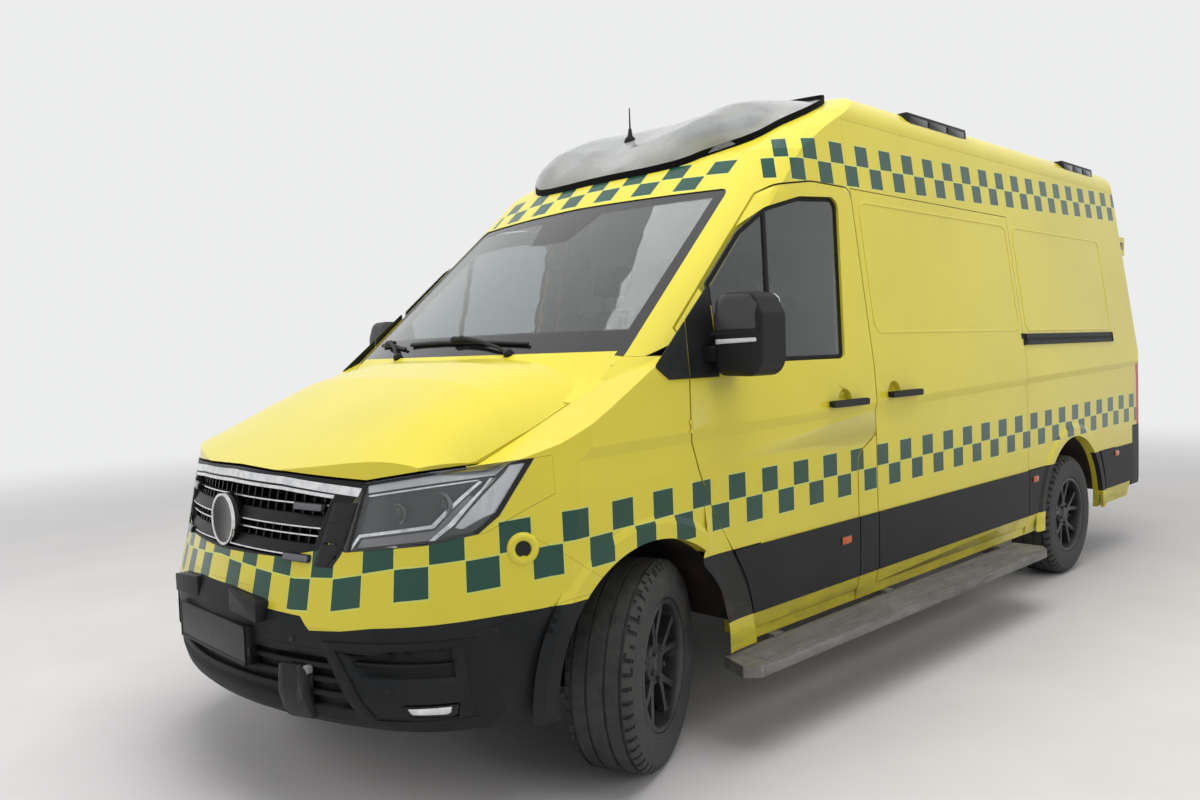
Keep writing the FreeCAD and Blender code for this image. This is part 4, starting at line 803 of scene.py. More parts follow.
def dress_grille():
    nose = skin("grille", "headlamps", "front_bumper", "bonnet")
    body = copy_of("grille")
    sunk_in(body, mm(-455, 803, 455, 803, 503, 982, 300, 999, 0, 1006, -300, 999, -503, 982), "front", 0.036)
    bars = []
    for low, high, thick, edge, lean in ((0.900, 0.936, -0.002, 0.002, 0.35), (0.816, 0.852, -0.002, 0.002, 0.35),
                                         (0.9635, 0.970, -0.007, 0.001, 0.0), (0.8745, 0.880, -0.007, 0.001, 0.0)):
        outline = across(low, high, 0.452 + (low - 0.79) * 0.25)
        bars.append(laid(outline, nose, "front", thick, 0.040, 0.03, edge=edge, lean=lean))
    frame_made = piece("grille_frame", joined(body, *bars), BLACK, smooth=30.0)
    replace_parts(frame_made, "grille")
    upper = mirrored_line(mm(0, 1047, 300, 1040, 560, 1021, 608, 1017))
    lower = mirrored_line(mm(0, 1017, 300, 1010, 515, 994))
    piece("grille_bright_top", joined(
            laid(upper + mm(600, 992, 300, 1017, 0, 1024, -300, 1017, -600, 992), nose, "front", 0.006, edge=0.002),
            laid(lower + mm(513, 984, 300, 1000, 0, 1007, -300, 1000, -513, 984), nose, "front", 0.003, edge=0.001)),
            BRIGHT)
    lines = [laid(across(z, z - 0.0040, half), nose, "front", thick, 0.012, 0.03)
             for z, half, thick in ((0.9035, 0.480, 0.0), (0.8195, 0.460, 0.0), (0.9695, 0.496, -0.005),
                                    (0.8795, 0.474, -0.005))]
    piece("grille_bright_lines", joined(*lines), BRIGHT)

    # Vertical ribs behind the louvres
    ribs = [laid([(x - 0.002, 0.806), (x + 0.002, 0.806), (x + 0.002, 0.996), (x - 0.002, 0.996)], nose, "front",
                 -0.018, 0.037, 0.06) for x in (i * 0.042 for i in range(-11, 12))]
    piece("grille_ribs", joined(*ribs), GLOSS)

    # Black end pieces, creased across in line with the louvres
    ends = []
    for low, high in ((0.790, 0.852), (0.856, 0.912), (0.916, 0.972)):
        inner = [0.474 + (z - 0.776) * 0.235 for z in (low, high)]
        outer = [0.566 + (z - 0.826) * (0.215 if z > 0.826 else 1.15) for z in (low, high)]
        ends.append(laid([(inner[0], low), (outer[0], low), (outer[1], high), (inner[1], high)], nose, "front",
                         0.0035, edge=0.0015))
    ends.append(laid(mm(478, 786, 540, 786, 566, 826, 598, 974, 520, 974), nose, "front", 0.0012, 0.003))
    both("grille_end", joined(*ends), GLOSS)

    piece("grille_disc_bed", turned(mm(-30, 0.5, -30, 84, 4, 86, 10, 83, 11.5, 79, 9.5, 74.5, 8.8, 0.5), 72,
            GRILLE_MIDDLE, GRILLE_TOWARD), GLOSS)
    piece("grille_disc_hoop", turned(mm(6, 74.5, 12.5, 75.5, 15, 79, 13.5, 83.5, 6, 85, 6, 74.5), 96, GRILLE_MIDDLE,
            GRILLE_TOWARD), BRIGHT)

    lamps, cases = [], []
    for u, v, half in ((0.425, 0.957, 0.060), (0.405, 0.808, 0.055)):
        shape = [(u - half, v - 0.011), (u + half, v - 0.013), (u + half, v + 0.010), (u - half, v + 0.012)]
        cases.append(laid(shape, nose, "front", 0.0075, 0.03, 0.08, 0.006, edge=0.0015))
        inner = [(u + (a - u) * 0.92, v + (b - v) * 0.78) for a, b in shape]
        lamps.append(laid(inner, nose, "front", 0.0095, -0.002, 0.08, 0.005, edge=0.0012))
    both("grille_lamp_case", joined(*cases), GLOSS)
    both("grille_lamp_lens", joined(*lamps), STROBE_LENS)


def dress_lower_bumper():
    nose = skin("bumper_lower", "front_bumper")
    body = copy_of("bumper_lower")
    pocket = mm(612, 562, 870, 574, 878, 490, 668, 486)
    fog = mm(774, 418, 884, 419, 876, 376, 788, 383)
    for outline, depth in ((pocket, 0.030), (fog, 0.020)):
        sunk_in(body, outline, "front", depth)
        sunk_in(body, [(-u, v) for u, v in outline], "front", depth)
    sunk_in(body, mm(-640, 388, 640, 388, 556, 536, -556, 536), "front", 0.028)
    bars = [laid([(-half, low), (half, low), (half - 0.008, high), (-half + 0.008, high)], nose, "front", -0.006,
                 0.030, 0.03, edge=0.002, lean=0.3)
            for low, high, half in ((0.420, 0.434, 0.618), (0.460, 0.474, 0.596), (0.500, 0.514, 0.574))]
    body_made = piece("bumper_lower_body", joined(body, *bars), NOSE_PAINT, smooth=30.0)
    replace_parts(body_made, "bumper_lower")
    both("side_pocket_slat", laid(mm(638, 521, 874, 524, 874, 532, 632, 529), nose, "front", -0.006, 0.031, 0.03,
            edge=0.0015), BLACK)

    # Strobe lamps in their beds under the yellow bumper
    both("strobe_case", laid(mm(124, 618, 316, 612, 318, 672, 124, 690), nose, "front", 0.0015, 0.06, 0.5, 0.006,
            edge=0.003, flat=True), BLACK)
    both("strobe_lens", laid(mm(142, 632, 298, 627, 300, 662, 142, 676), nose, "front", 0.0045, 0.01, 0.5, 0.006,
            edge=0.002, flat=True), STROBE_LENS)

    # Blank number plate holder with a thin frame
    half, low, high = 0.255, 0.470, 0.592
    shape = [(-half, low), (half, low), (half, high), (-half, high)]
    bed = laid(shape, nose, "front", 0.001, 0.045, 0.5, 0.004, edge=0.002, flat=True)
    rim = laid(shape, nose, "front", 0.0022, 0.004, 0.5, 0.004, ring=0.009, edge=0.0010, flat=True)
    piece("plate_holder", bed, SCRATCHED)
    piece("plate_holder_rim", rim, BLACK)

    # Rounded blank that hangs over the left of the intake
    piece("bumper_flap", laid(mm(388, 332, 498, 340, 504, 496, 470, 508, 392, 506), nose, "front", 0.016, 0.01, 0.03,
            0.014, edge=0.005), SCRATCHED)
    piece("bumper_flap_clip", laid(mm(489, 482, 506, 482, 506, 504, 489, 508), nose, "front", 0.014, 0.004, 0.5,
            0.006, edge=0.002), MODULE)

    # Raised surround of each side pocket, its inner leg running down to the foot of the bumper
    band = [laid(mm(546, 580, 905, 598, 893, 577, 590, 560, 700, 372, 672, 360), nose, "front", 0.006, 0.004,
            edge=0.0025), laid(mm(905, 598, 925, 580, 940, 378, 922, 356, 700, 352, 700, 366, 905, 372, 893, 577),
            nose, "front", 0.005, 0.004, edge=0.002)]
    both("side_pocket_surround", joined(*band), BLACK)
    both("fog_lamp_bed", laid(mm(780, 414, 880, 414, 873, 379, 792, 386), nose, "front", 0.004, 0.004, 0.03, 0.006),
            GLOSS)
    both("fog_lamp_strip", laid(mm(795, 409, 872, 410, 867, 388, 801, 391), nose, "front", 0.01, -0.002, 0.012,
            0.004, edge=0.002), BRIGHT)

    dots = []
    for x, z in ((0.745, 0.456), (0.932, 0.607), (0.43, 0.575)):
        hit = nose.ray_cast(Vector((x, -4, z)), Vector((0, 1, 0)))
        dots.append(turned(mm(-4, 0.5, -4, 11.5, 1.2, 11.2, 1.8, 8.5, 1, 8, 2.2, 7, 2.6, 0.5), 28, hit[0], hit[1]))
    both("parking_sensors", joined(*dots), GLOSS)


def dress_boss():
    """Round fitting with a hole on each corner of the bumper."""
    toward = Vector((0.90, -0.43, 0.05))
    place = skin("fenders", "front_bumper").ray_cast(Vector((0.950, -2.460, 0.830)) + toward, -toward)[0]
    ring = turned(mm(-30, 23.5, 1, 23.5, 6, 26, 8, 32, 8, 38, 5, 44, -4, 50, -30, 50, -30, 23.5), 48, place, toward)
    hole = turned(mm(0.8, 0.5, 0.8, 24.3, -10, 24.3, -10, 0.5, 0.8, 0.5), 36, place, toward)
    both("bumper_boss", ring, PAINT_PLAIN)
    both("bumper_boss_hole", hole, DEEP)


dress_grille()
dress_lower_bumper()
dress_boss()


# Headlamps: a clear cover over a dark case with its bright guides

def lamp_shell(keep_front):
    """The headlamp's own shape: its clear front, or the dark case behind it."""
    bm = copy_of("headlamps")
    outer = skin("headlamps")
    drop = []
    for face in bm.faces:
        middle = face.calc_center_median()
        out = Vector((math.copysign(0.55, middle.x), -0.83, 0.1)).normalized()
        clear = outer.ray_cast(middle + out * 0.004, out)[0] is None
        front = face.normal.dot(out) > 0.55 and clear
        if front != keep_front:
            drop.append(face)
    bmesh.ops.delete(bm, geom=drop, context="FACES")
    return bm


# Two slanted lines past which a headlamp's shape is painted: a place (x, z), and the line's run in x and in z
LAMP_END = ((0.952, 1.089, 0.037, 0.159), (0.915, 0.930, 0.025, 0.046))


def past_lamp_end(face):
    middle = face.calc_center_median()
    return any((abs(middle.x) - x) * up - (middle.z - z) * over > 0 for x, z, over, up in LAMP_END)


def dress_headlamps():
    lens = lamp_shell(True)
    corner = lens.copy()
    for bm, outside in ((lens, False), (corner, True)):
        for x, z, over, up in LAMP_END:
            for sign in (1, -1):
                bmesh.ops.bisect_plane(bm, geom=bm.verts[:] + bm.edges[:] + bm.faces[:], plane_co=(sign * x, 0, z),
                                       plane_no=(sign * up, 0, -over))
        drop = [face for face in bm.faces if past_lamp_end(face) != outside]
        bmesh.ops.delete(bm, geom=drop, context="FACES")
    for sheet in (lens, corner):
        bmesh.ops.solidify(sheet, geom=sheet.faces[:], thickness=0.0025)
    for name, bm, material, slot in (("fender_tip_beside_lamp", corner, PAINT, "body_paint"),
                                     ("headlamp_covers", lens, CLEAR_LENS, "lamp_glass"),
                                     ("headlamp_cases", lamp_shell(False), LAMP_DARK, "lamp_glass")):
        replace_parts(piece(name, bm, material), "headlamps")
    on = skin("headlamps")

    both("headlamp_bowl", laid(mm(592, 846, 800, 870, 880, 893, 906, 930, 944, 1078, 800, 1056, 622, 1024), on,
            "front", -0.018, 0.026, 0.03), LAMP_DARK)

    both("headlamp_top_guide", laid(mm(622, 1024, 800, 1055, 905, 1073, 898, 1046, 800, 1031, 625, 1002), on,
            "front", -0.0035, 0.014, 0.03), PALE)
    both("headlamp_bright_line", joined(
            laid(mm(626, 996, 800, 1025, 876, 1037, 876, 1033, 800, 1020, 627, 991), on, "front", -0.004, 0.01, 0.03),
            laid(mm(585, 838, 612, 884, 805, 915, 862, 1006, 879, 1033, 884, 1030, 812, 906, 618, 876, 596, 840), on,
                 "front", -0.004, 0.012, 0.02),
            laid(mm(596, 840, 800, 866, 838, 916, 884, 1010, 894, 1040, 900, 1038, 848, 912, 806, 858, 600, 834), on,
                 "front", -0.004, 0.012, 0.02)), BRIGHT)
    both("headlamp_lower_guide", laid(mm(622, 870, 812, 899, 864, 992, 872, 988, 826, 900, 800, 872, 612, 846), on,
            "front", -0.006, 0.014, 0.02), LAMP_GUIDE)
    both("headlamp_corner", laid(mm(905, 940, 886, 925, 862, 900, 850, 905, 912, 1050, 918, 1072, 944, 1076), on,
            "front", -0.005, 0.014, 0.02), PALE)

    both("headlamp_gasket", laid(mm(584, 832, 800, 857, 889, 883, 915, 930, 951, 1087, 800, 1062, 614, 1030), on,
            "front", 0.0022, 0.002, 0.03, 0.008, ring=0.0075, edge=0.0008), GLOSS)

    # Projector and reflector set back behind the cover
    for name, x, z, size in (("headlamp_projector", 0.815, 0.968, 0.036),
                             ("headlamp_reflector", 0.715, 0.945, 0.028)):
        hit = on.ray_cast(Vector((x, -4, z)), Vector((0, 1, 0)))[0]
        where = hit + Vector((-0.004, 0.014, 0))
        both(name + "_bowl", turned([(-0.012, 0.0005), (-0.012, size), (0.001, size + 0.003), (0.003, size),
                (0.001, size * 0.86), (-0.003, size * 0.8), (-0.004, 0.0005)], 40, where, (0.12, -1, 0)),
                CHROME_DARK)
        both(name + "_eye", turned([(-0.006, 0.0005), (-0.006, size * 0.74), (0.0, size * 0.72), (0.006, size * 0.5),
                (0.008, size * 0.25), (0.0085, 0.0005)], 40, where, (0.12, -1, 0)), CLEAR_LENS)


dress_headlamps()


# Sides: window seals, handles' bowls, markers, rail, mirrors

def outer_ring(node, width, thick, sign=1.0, axis=0):
    """A seal that runs round the edge of a pane, made from the pane's own outer face."""
    bm = copy_of(node)
    drop = [f for f in bm.faces if f.normal[axis] * sign < 0.3]
    bmesh.ops.delete(bm, geom=drop, context="FACES")
    bmesh.ops.dissolve_limit(bm, angle_limit=math.radians(3), verts=bm.verts, edges=bm.edges)
    made = bmesh.ops.inset_region(bm, faces=bm.faces[:], thickness=width, use_boundary=True,
                                  use_even_offset=True)["faces"]
    keep = set(made)
    bmesh.ops.delete(bm, geom=[f for f in bm.faces if f not in keep], context="FACES")
    move = Vector((0, 0, 0))
    move[axis] = thick * sign
    drawn_out(bm, bm.faces[:], move)
    bmesh.ops.recalc_face_normals(bm, faces=bm.faces)
    return bm


def dress_windows():
    for side, sign in BOTH:
        seal = outer_ring("door_glass_" + side, 0.017, 0.003, sign, 0)
        piece("door_window_seal_" + side, seal, SEAL, "front_door_" + side)
        seal = outer_ring("rear_glass_" + side, 0.022, 0.003, 1.0, 1)
        piece("rear_window_seal_" + side, seal, SEAL, "rear_door_" + side)
    pane = skin("door_glass_left")
    both("door_window_bar", laid(mm(-1297, 1350, -1270, 1350, -1194, 1905, -1216, 1905), pane, "left", 0.004, 0.004,
            0.1, edge=0.0015), SEAL, "front_door_SIDE")


def dress_doors():
    """Handle bowls pressed into the front doors and sliding doors, and raised edges round the upper panels of the
    sliding doors and rear quarters.
    """
    doors = copy_of("front_door_left")
    sliders = copy_of("sliding_doors", half=True)
    for mesh, y, z in ((doors, -0.818, 1.163), (sliders, -0.420, 1.178)):
        turn = [math.radians(a) for a in range(0, 181, 15)]
        sunk_in(mesh, [(y + 0.052 * math.cos(a), z + 0.050 * math.sin(a)) for a in turn], "left", 0.020)
    for side, sign in BOTH:
        made = piece("front_door_%s_skin" % side, sided(doors, sign), PAINT, "front_door_" + side, 30.0)
        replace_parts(made, "front_door_" + side)
    for side, sign in BOTH:
        made = piece("sliding_door_%s_skin" % side, sided(sliders, sign), PAINT, smooth=30.0)
        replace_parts(made, "sliding_doors")
    doors.free()
    sliders.free()
    on = skin("sliding_doors", "rear_quarters")
    for name, start, end in (("sliding_door_panel_edge", -0.527, 0.975), ("quarter_panel_edge", 1.055, 2.393)):
        both(name, laid([(start, 1.434), (end, 1.434), (end, 2.004), (start, 2.004)], on, "left", 0.0022, 0.002,
                0.06, 0.055, ring=0.011, edge=0.001), PAINT)


# Behind the front arch: heights, how far back the arch's lip and the door's front edge are there, and how far
# the skin stands out at the lip
TAIL_HEIGHTS = [0.34, 0.38, 0.43, 0.48, 0.53, 0.58, 0.63, 0.68, 0.73, 0.78, 0.83, 0.88, 0.93]
TAIL_ARCH = [-1.602, -1.602, -1.604, -1.618, -1.632, -1.652, -1.690, -1.735, -1.712, -1.712, -1.712, -1.712,
             -1.712]
TAIL_DOOR = [-1.432, -1.440, -1.450, -1.460, -1.480, -1.505, -1.530, -1.560, -1.590, -1.625, -1.660, -1.680,
             -1.705]
TAIL_FLARE = [0.011, 0.011, 0.011, 0.011, 0.011, 0.011, 0.011, 0.010, 0.009, 0.009, 0.005, -0.001, -0.002]


def fender_tail():
    """The part of each fender between its arch and the front door."""
    bm = bmesh.new()
    bmesh.ops.create_grid(bm, x_segments=8, y_segments=36, size=1.0)
    for v in bm.verts:
        share, z = (v.co.x + 1) / 2, 0.635 + 0.295 * v.co.y
        arch, door, flare = (between(TAIL_HEIGHTS, values, z) for values in (TAIL_ARCH, TAIL_DOOR, TAIL_FLARE))
        v.co = (1.009 + flare * (1 - share) ** 3, arch + (door - 0.006 - arch) * share, z)
    if sum(f.normal.x for f in bm.faces) < 0:
        bmesh.ops.reverse_faces(bm, faces=bm.faces)
    bmesh.ops.solidify(bm, geom=bm.faces[:], thickness=0.014)
    both("fender_tail", bm, PAINT)


def dress_markers():
    on = skin("side_cladding", "door_trim_left", "bumper_lower")
    for y, z, body in ((-0.835, 0.602, "front_door_SIDE"), (1.089, 0.628, "van_body"), (2.395, 0.644, "van_body")):
        shapes = [[(y - u, z - v), (y + u, z - v), (y + u, z + v), (y - u, z + v)]
                  for u, v in ((0.040, 0.019), (0.034, 0.014))]
        label = "side_marker_%d" % round(y * 100 + 200)
        both(label + "_bed", laid(shapes[0], on, "left", 0.002, 0.002, 0.5, 0.006, edge=0.001), GLOSS, body=body)
        both(label, laid(shapes[1], on, "left", 0.0065, -0.001, 0.5, 0.005, edge=0.0022), AMBER_LENS, body=body)


def dress_rail():
    on = skin("side_cladding", "rear_quarters")
    both("rail_slot", laid(sheet_mm(1030, 1383, 2375, 1397), on, "left", 0.0012, 0.001, 0.2), DEEP)
    both("rail_caps", joined(
            laid(sheet_mm(985, 1358, 1024, 1422), on, "left", 0.004, 0.004, 0.5, 0.006, edge=0.0015),
            laid(mm(2378, 1358, 2400, 1362, 2400, 1418, 2378, 1422), on, "left", 0.004, 0.004, 0.5, 0.004,
                 edge=0.0015)), BLACK)


def dress_mirrors():
    on = skin("mirror_left")
    both("mirror_indicator", laid(mm(1035, 1404, 1200, 1409, 1200, 1422, 1035, 1420), on, "front", 0.0022, 0.002,
            0.012, 0.003, edge=0.0008), CLEAR_STRIP, "front_door_SIDE")
    both("mirror_cap_joint", laid(mm(1003, 1434, 1206, 1440, 1206, 1447, 1003, 1442), on, "front", 0.0012, 0.001,
            0.012), DEEP, body="front_door_SIDE")
    both("mirror_cap", laid(mm(1012, 1447, 1200, 1451, 1196, 1530, 1170, 1566, 1050, 1570, 1020, 1548), on, "front",
            0.002, 0.002, 0.012, 0.008, edge=0.001), MIRROR_CAP, body="front_door_SIDE")
    both("mirror_lamp", turned(mm(-6, 0.5, -6, 14, 1, 13.5, 3, 10, 4.5, 5, 5, 0.5), 28,
            Vector((1.105, -1.655, 1.345)), (0.0, -1, -0.25)), CLEAR_STRIP, "front_door_SIDE")
    upper = laid(mm(1022, 1400, 1196, 1400, 1192, 1555, 1170, 1572, 1045, 1572, 1024, 1552), on, "back", 0.0015,
            0.001, 0.5, 0.008, edge=0.0008, flat=True)
    lower = laid(mm(1024, 1310, 1192, 1310, 1196, 1392, 1022, 1392), on, "back", 0.0015, 0.001, 0.5, 0.008,
            edge=0.0008, flat=True)
    both("mirror_glass", joined(upper, lower), SILVERED, "front_door_SIDE")


dress_windows()
dress_doors()
dress_markers()
dress_rail()
dress_mirrors()


# Roof: modules under the fairing, lamp units, and the foot of the antenna

# The lamp units along the roof's edge: where each starts and ends, where their inner faces are, and their width
ROOF_LAMPS = ((0.053, 0.703), (2.003, 2.543))
LAMP_INNER = 0.752
LAMP_WIDTH = 0.082


def dress_roof():
    under = skin("cab_frame", "roof_panel")
    decks, fronts = [], []
    for x, y, sx, sy, sz in ((0.24, -0.760, 0.19, 0.13, 0.090), (0.47, -0.760, 0.19, 0.13, 0.080),
                             (0.16, -0.520, 0.13, 0.12, 0.050), (0.40, -0.500, 0.16, 0.12, 0.045)):
        foot = min(under.ray_cast(Vector((x + dx * sx, y + dy * sy, 3)), Vector((0, 0, -1)))[0].z
                   for dx in (-0.5, 0.5) for dy in (-0.5, 0.5)) - 0.004
        top = min(under.ray_cast(Vector((x, y, 3)), Vector((0, 0, -1)))[0].z + sz,
                  fairing_z(x + sx / 2, y - sy / 2) - 0.02)
        decks.append(slab((x - sx / 2, y - sy / 2, foot), (x + sx / 2, y + sy / 2, top), 0.010, 3))
        fronts.append(slab((x - sx / 2 + 0.012, y - sy / 2 - 0.003, top - sz + 0.018),
                           (x + sx / 2 - 0.012, y - sy / 2 + 0.004, top - 0.014), 0.004))
    both("fairing_module", joined(*decks), MODULE)
    both("fairing_module_lens", joined(*fronts), STROBE_LENS)

    cases, lamps, feet = [], [], []
    for start, end in ROOF_LAMPS:
        case = bmesh.new()
        outline = ((start, 2.405), (end, 2.405), (end - 0.014, 2.485), (start + 0.014, 2.485))
        face = case.faces.new([case.verts.new((LAMP_INNER, y, z)) for y, z in outline])
        drawn_out(case, [face], (LAMP_WIDTH, 0, 0))
        bmesh.ops.recalc_face_normals(case, faces=case.faces)
        bevel_all(case, 0.008, 3)
        cases.append(case)
    solid = joined(*cases)
    shape = BVHTree.FromBMesh(solid)
    for side, sign in BOTH:
        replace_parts(piece("roof_lamp_case_" + side, sided(solid, sign), BLACK), "roof_lamps")
    solid.free()
    for start, end in ROOF_LAMPS:
        pitch = (end - start - 0.06) / 3
        for i in range(3):
            a = start + 0.030 + pitch * i
            b = a + pitch - 0.014
            lamps.append(laid([(a, 2.423), (b, 2.423), (b - 0.004, 2.468), (a + 0.004, 2.468)], shape, "left",
                              0.004, 0.002, 0.5, 0.008, edge=0.0025, flat=True))
        for y in (start + 0.04, end - 0.11):
            feet.append(slab((0.770, y, 2.396), (0.826, y + 0.07, 2.412), 0.003))
    both("roof_lamp_lens", joined(*lamps), BLUE_DARK)
    both("roof_lamp_feet", joined(*feet), BLACK)


# Half widths across the fairing, and its heights there at places from its foot to its tail
FAIRING_X = [0.0, 0.30, 0.47, 0.62, 0.76]
FAIRING_HEIGHTS = [(-1.185, [2.165, 2.178, 2.190, 2.150, 2.085]), (-1.081, [2.240, 2.264, 2.281, 2.225, 2.130]),
                   (-0.979, [2.320, 2.357, 2.378, 2.315, 2.215]), (-0.769, [2.434, 2.456, 2.468, 2.420, 2.340]),
                   (-0.560, [2.508, 2.514, 2.510, 2.478, 2.430]), (-0.335, [2.560, 2.557, 2.544, 2.504, 2.452])]
FAIRING_TAIL = -0.365


def between(places, values, at):
    """A smooth curve through values at the given places."""
    at = min(max(at, places[0]), places[-1])
    i = max(k for k in range(len(places) - 1) if places[k] <= at)
    a, b = values[i], values[i + 1]
    before = values[i - 1] if i else 2 * a - b
    after = values[i + 2] if i + 2 < len(values) else 2 * b - a
    t = (at - places[i]) / (places[i + 1] - places[i])
    return 0.5 * (2 * a + (b - before) * t + (2 * before - 5 * a + 4 * b - after) * t ** 2
                  + (3 * a - before - 3 * b + after) * t ** 3)


def fairing_z(x, y):
    rows = [between(FAIRING_X, heights, abs(x)) for start, heights in FAIRING_HEIGHTS]
    return between([start for start, heights in FAIRING_HEIGHTS], rows, y)


def fairing_plan(u, w):
    """Where a place of a square from -1 to 1 lies in the fairing's plan, whose corners are round."""
    u, w = u * (1 - 0.10 * abs(w) ** 10), w * (1 - 0.10 * abs(u) ** 10)
    share = (w + 1) / 2
    x = u * between([0.0, 0.35, 0.64, 1.0], [0.655, 0.710, 0.735, 0.675], share)
    front = -1.165 + 0.115 * (abs(x) / 0.66) ** 2.6
    return x, front + (FAIRING_TAIL - front) * share


def height_of(surface, x, y):
    """How high a surface lies at a place in plan, also over a shut line."""
    for shift in (0.0, 0.012, -0.012, 0.03, -0.03):
        hit = surface.ray_cast(Vector((x, y + shift, 3)), Vector((0, 0, -1)))[0]
        if hit:
            return hit.z
    return None


def dress_fairing():
    """The smoked fairing, with a raised bulge on each side of its middle, and the seal round its foot."""
    roof = skin("cab_frame", "roof_panel", "upper_sides")
    bm = bmesh.new()
    bmesh.ops.create_grid(bm, x_segments=56, y_segments=40, size=1.0)
    for v in bm.verts:
        u, w = v.co.x, v.co.y
        x, y = fairing_plan(u, w)
        foot = height_of(roof, x, y) + 0.010
        edge = min(1.0, min(1 - abs(u), (1 - abs(w)) * 0.8) / 0.16)
        v.co = (x, y, foot + max(0.0, fairing_z(x, y) - foot) * (1 - (1 - edge) ** 2.4))
    bmesh.ops.recalc_face_normals(bm, faces=bm.faces)
    face_up(bm)
    bmesh.ops.solidify(bm, geom=bm.faces[:], thickness=0.005)
    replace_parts(piece("fairing_shell", bm, SMOKED, smooth=60.0), "roof_dome")
    line = [i / 12 for i in range(-12, 12)]
    square = [(t, -1) for t in line] + [(1, t) for t in line] + [(-t, 1) for t in line] + [(-1, -t) for t in line]
    outline = [fairing_plan(u * 1.034, w * 1.034) for u, w in square]
    seal = laid(outline, roof, "top", 0.030, 0.008, 0.04, ring=0.040, edge=0.007)
    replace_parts(piece("fairing_seal", seal, SEAL, smooth=50.0), "dome_seal")
    x, y = -0.10, -0.858
    piece("antenna", turned(mm(-10, 0.5, -10, 30, 4, 27, 20, 12, 50, 8, 56, 4.2, 150, 2.6, 152, 0.5), 24,
            (x, y, fairing_z(x, y)), (0, 0, 1)), BLACK)


dress_roof()
dress_fairing()
fender_tail()


# Windscreen: wipers, sensor housing and mirror behind the glass

def arm(points, width, height):
    """A bar of the given section that runs along a line of points, tapering a little to its end."""
    bm = bmesh.new()
    loops = []
    for i, here in enumerate(points):
        here = Vector(here)
        ahead = (Vector(points[min(i + 1, len(points) - 1)]) - Vector(points[max(i - 1, 0)])).normalized()
        side = ahead.cross(Vector((0, -0.62, 0.78))).normalized()
        up = side.cross(ahead).normalized()
        share = 1.0 - 0.35 * i / (len(points) - 1)
        ring = [bm.verts.new(here + side * (a * width * share) + up * (b * height * share))
                for a, b in ((-0.5, -0.5), (0.5, -0.5), (0.42, 0.3), (0.2, 0.5), (-0.2, 0.5), (-0.42, 0.3))]
        loops.append([bm.edges.new((ring[k], ring[(k + 1) % 6])) for k in range(6)])
    for a, b in zip(loops, loops[1:]):
        bmesh.ops.bridge_loops(bm, edges=a + b)
    for loop in (loops[0], loops[-1]):
        bmesh.ops.contextual_create(bm, geom=loop)
    bmesh.ops.recalc_face_normals(bm, faces=bm.faces)
    return bm


def on_screen(glass, x, z, lift):
    hit, normal = glass.ray_cast(Vector((x, -4, z)), Vector((0, 1, 0)))[:2]
    return hit + normal * lift


def dress_screen():
    glass = skin("windscreen")
    parts = []
    for blade, clip, rod in (
            (mm(-333, 1440, -150, 1443, 40, 1440, 240, 1433, 429, 1422), (0.04, 1.442),
             mm(50, 1444, 180, 1430, 300, 1408, 370, 1390)),
            (mm(-690, 1446, -620, 1445, -520, 1440, -357, 1424), (-0.55, 1.444),
             mm(-550, 1446, -460, 1424, -380, 1396, -360, 1390))):
        parts.append(arm([on_screen(glass, x, z, 0.010) for x, z in blade], 0.020, 0.010))
        parts.append(arm([on_screen(glass, x, z, 0.004) for x, z in blade], 0.006, 0.008))
        parts.append(arm([on_screen(glass, x, z, 0.028 - 0.006 * i) for i, (x, z) in enumerate(rod)], 0.017, 0.010))
        x, z = clip
        parts.append(arm([on_screen(glass, x + dx, z, 0.020) for dx in (-0.040, 0.0, 0.040)], 0.030, 0.024))
        x, z = rod[-1]
        parts.append(turned(mm(-12, 0.5, -12, 20, 10, 18, 16, 12, 17, 0.5), 28, on_screen(glass, x, z, 0.006),
                (0, -0.64, 0.76)))
    wipers = piece("wipers_look", joined(*parts), BLACK)
    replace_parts(wipers, "wipers")

    piece("screen_sensor_housing", laid(mm(-200, 1992, 50, 1992, 45, 1875, -45, 1870, -150, 1950), glass, "front",
            -0.012, 0.05, 0.04, 0.012, edge=0.004), BLACK)
    stem = arm([(-0.01, -1.40, 1.875), (-0.01, -1.375, 1.850), (-0.01, -1.36, 1.815)], 0.022, 0.016)
    mirror = slab((-0.135, -1.385, 1.745), (0.115, -1.350, 1.815), 0.012, 3)
    piece("inside_mirror", joined(mirror, stem), BLACK)


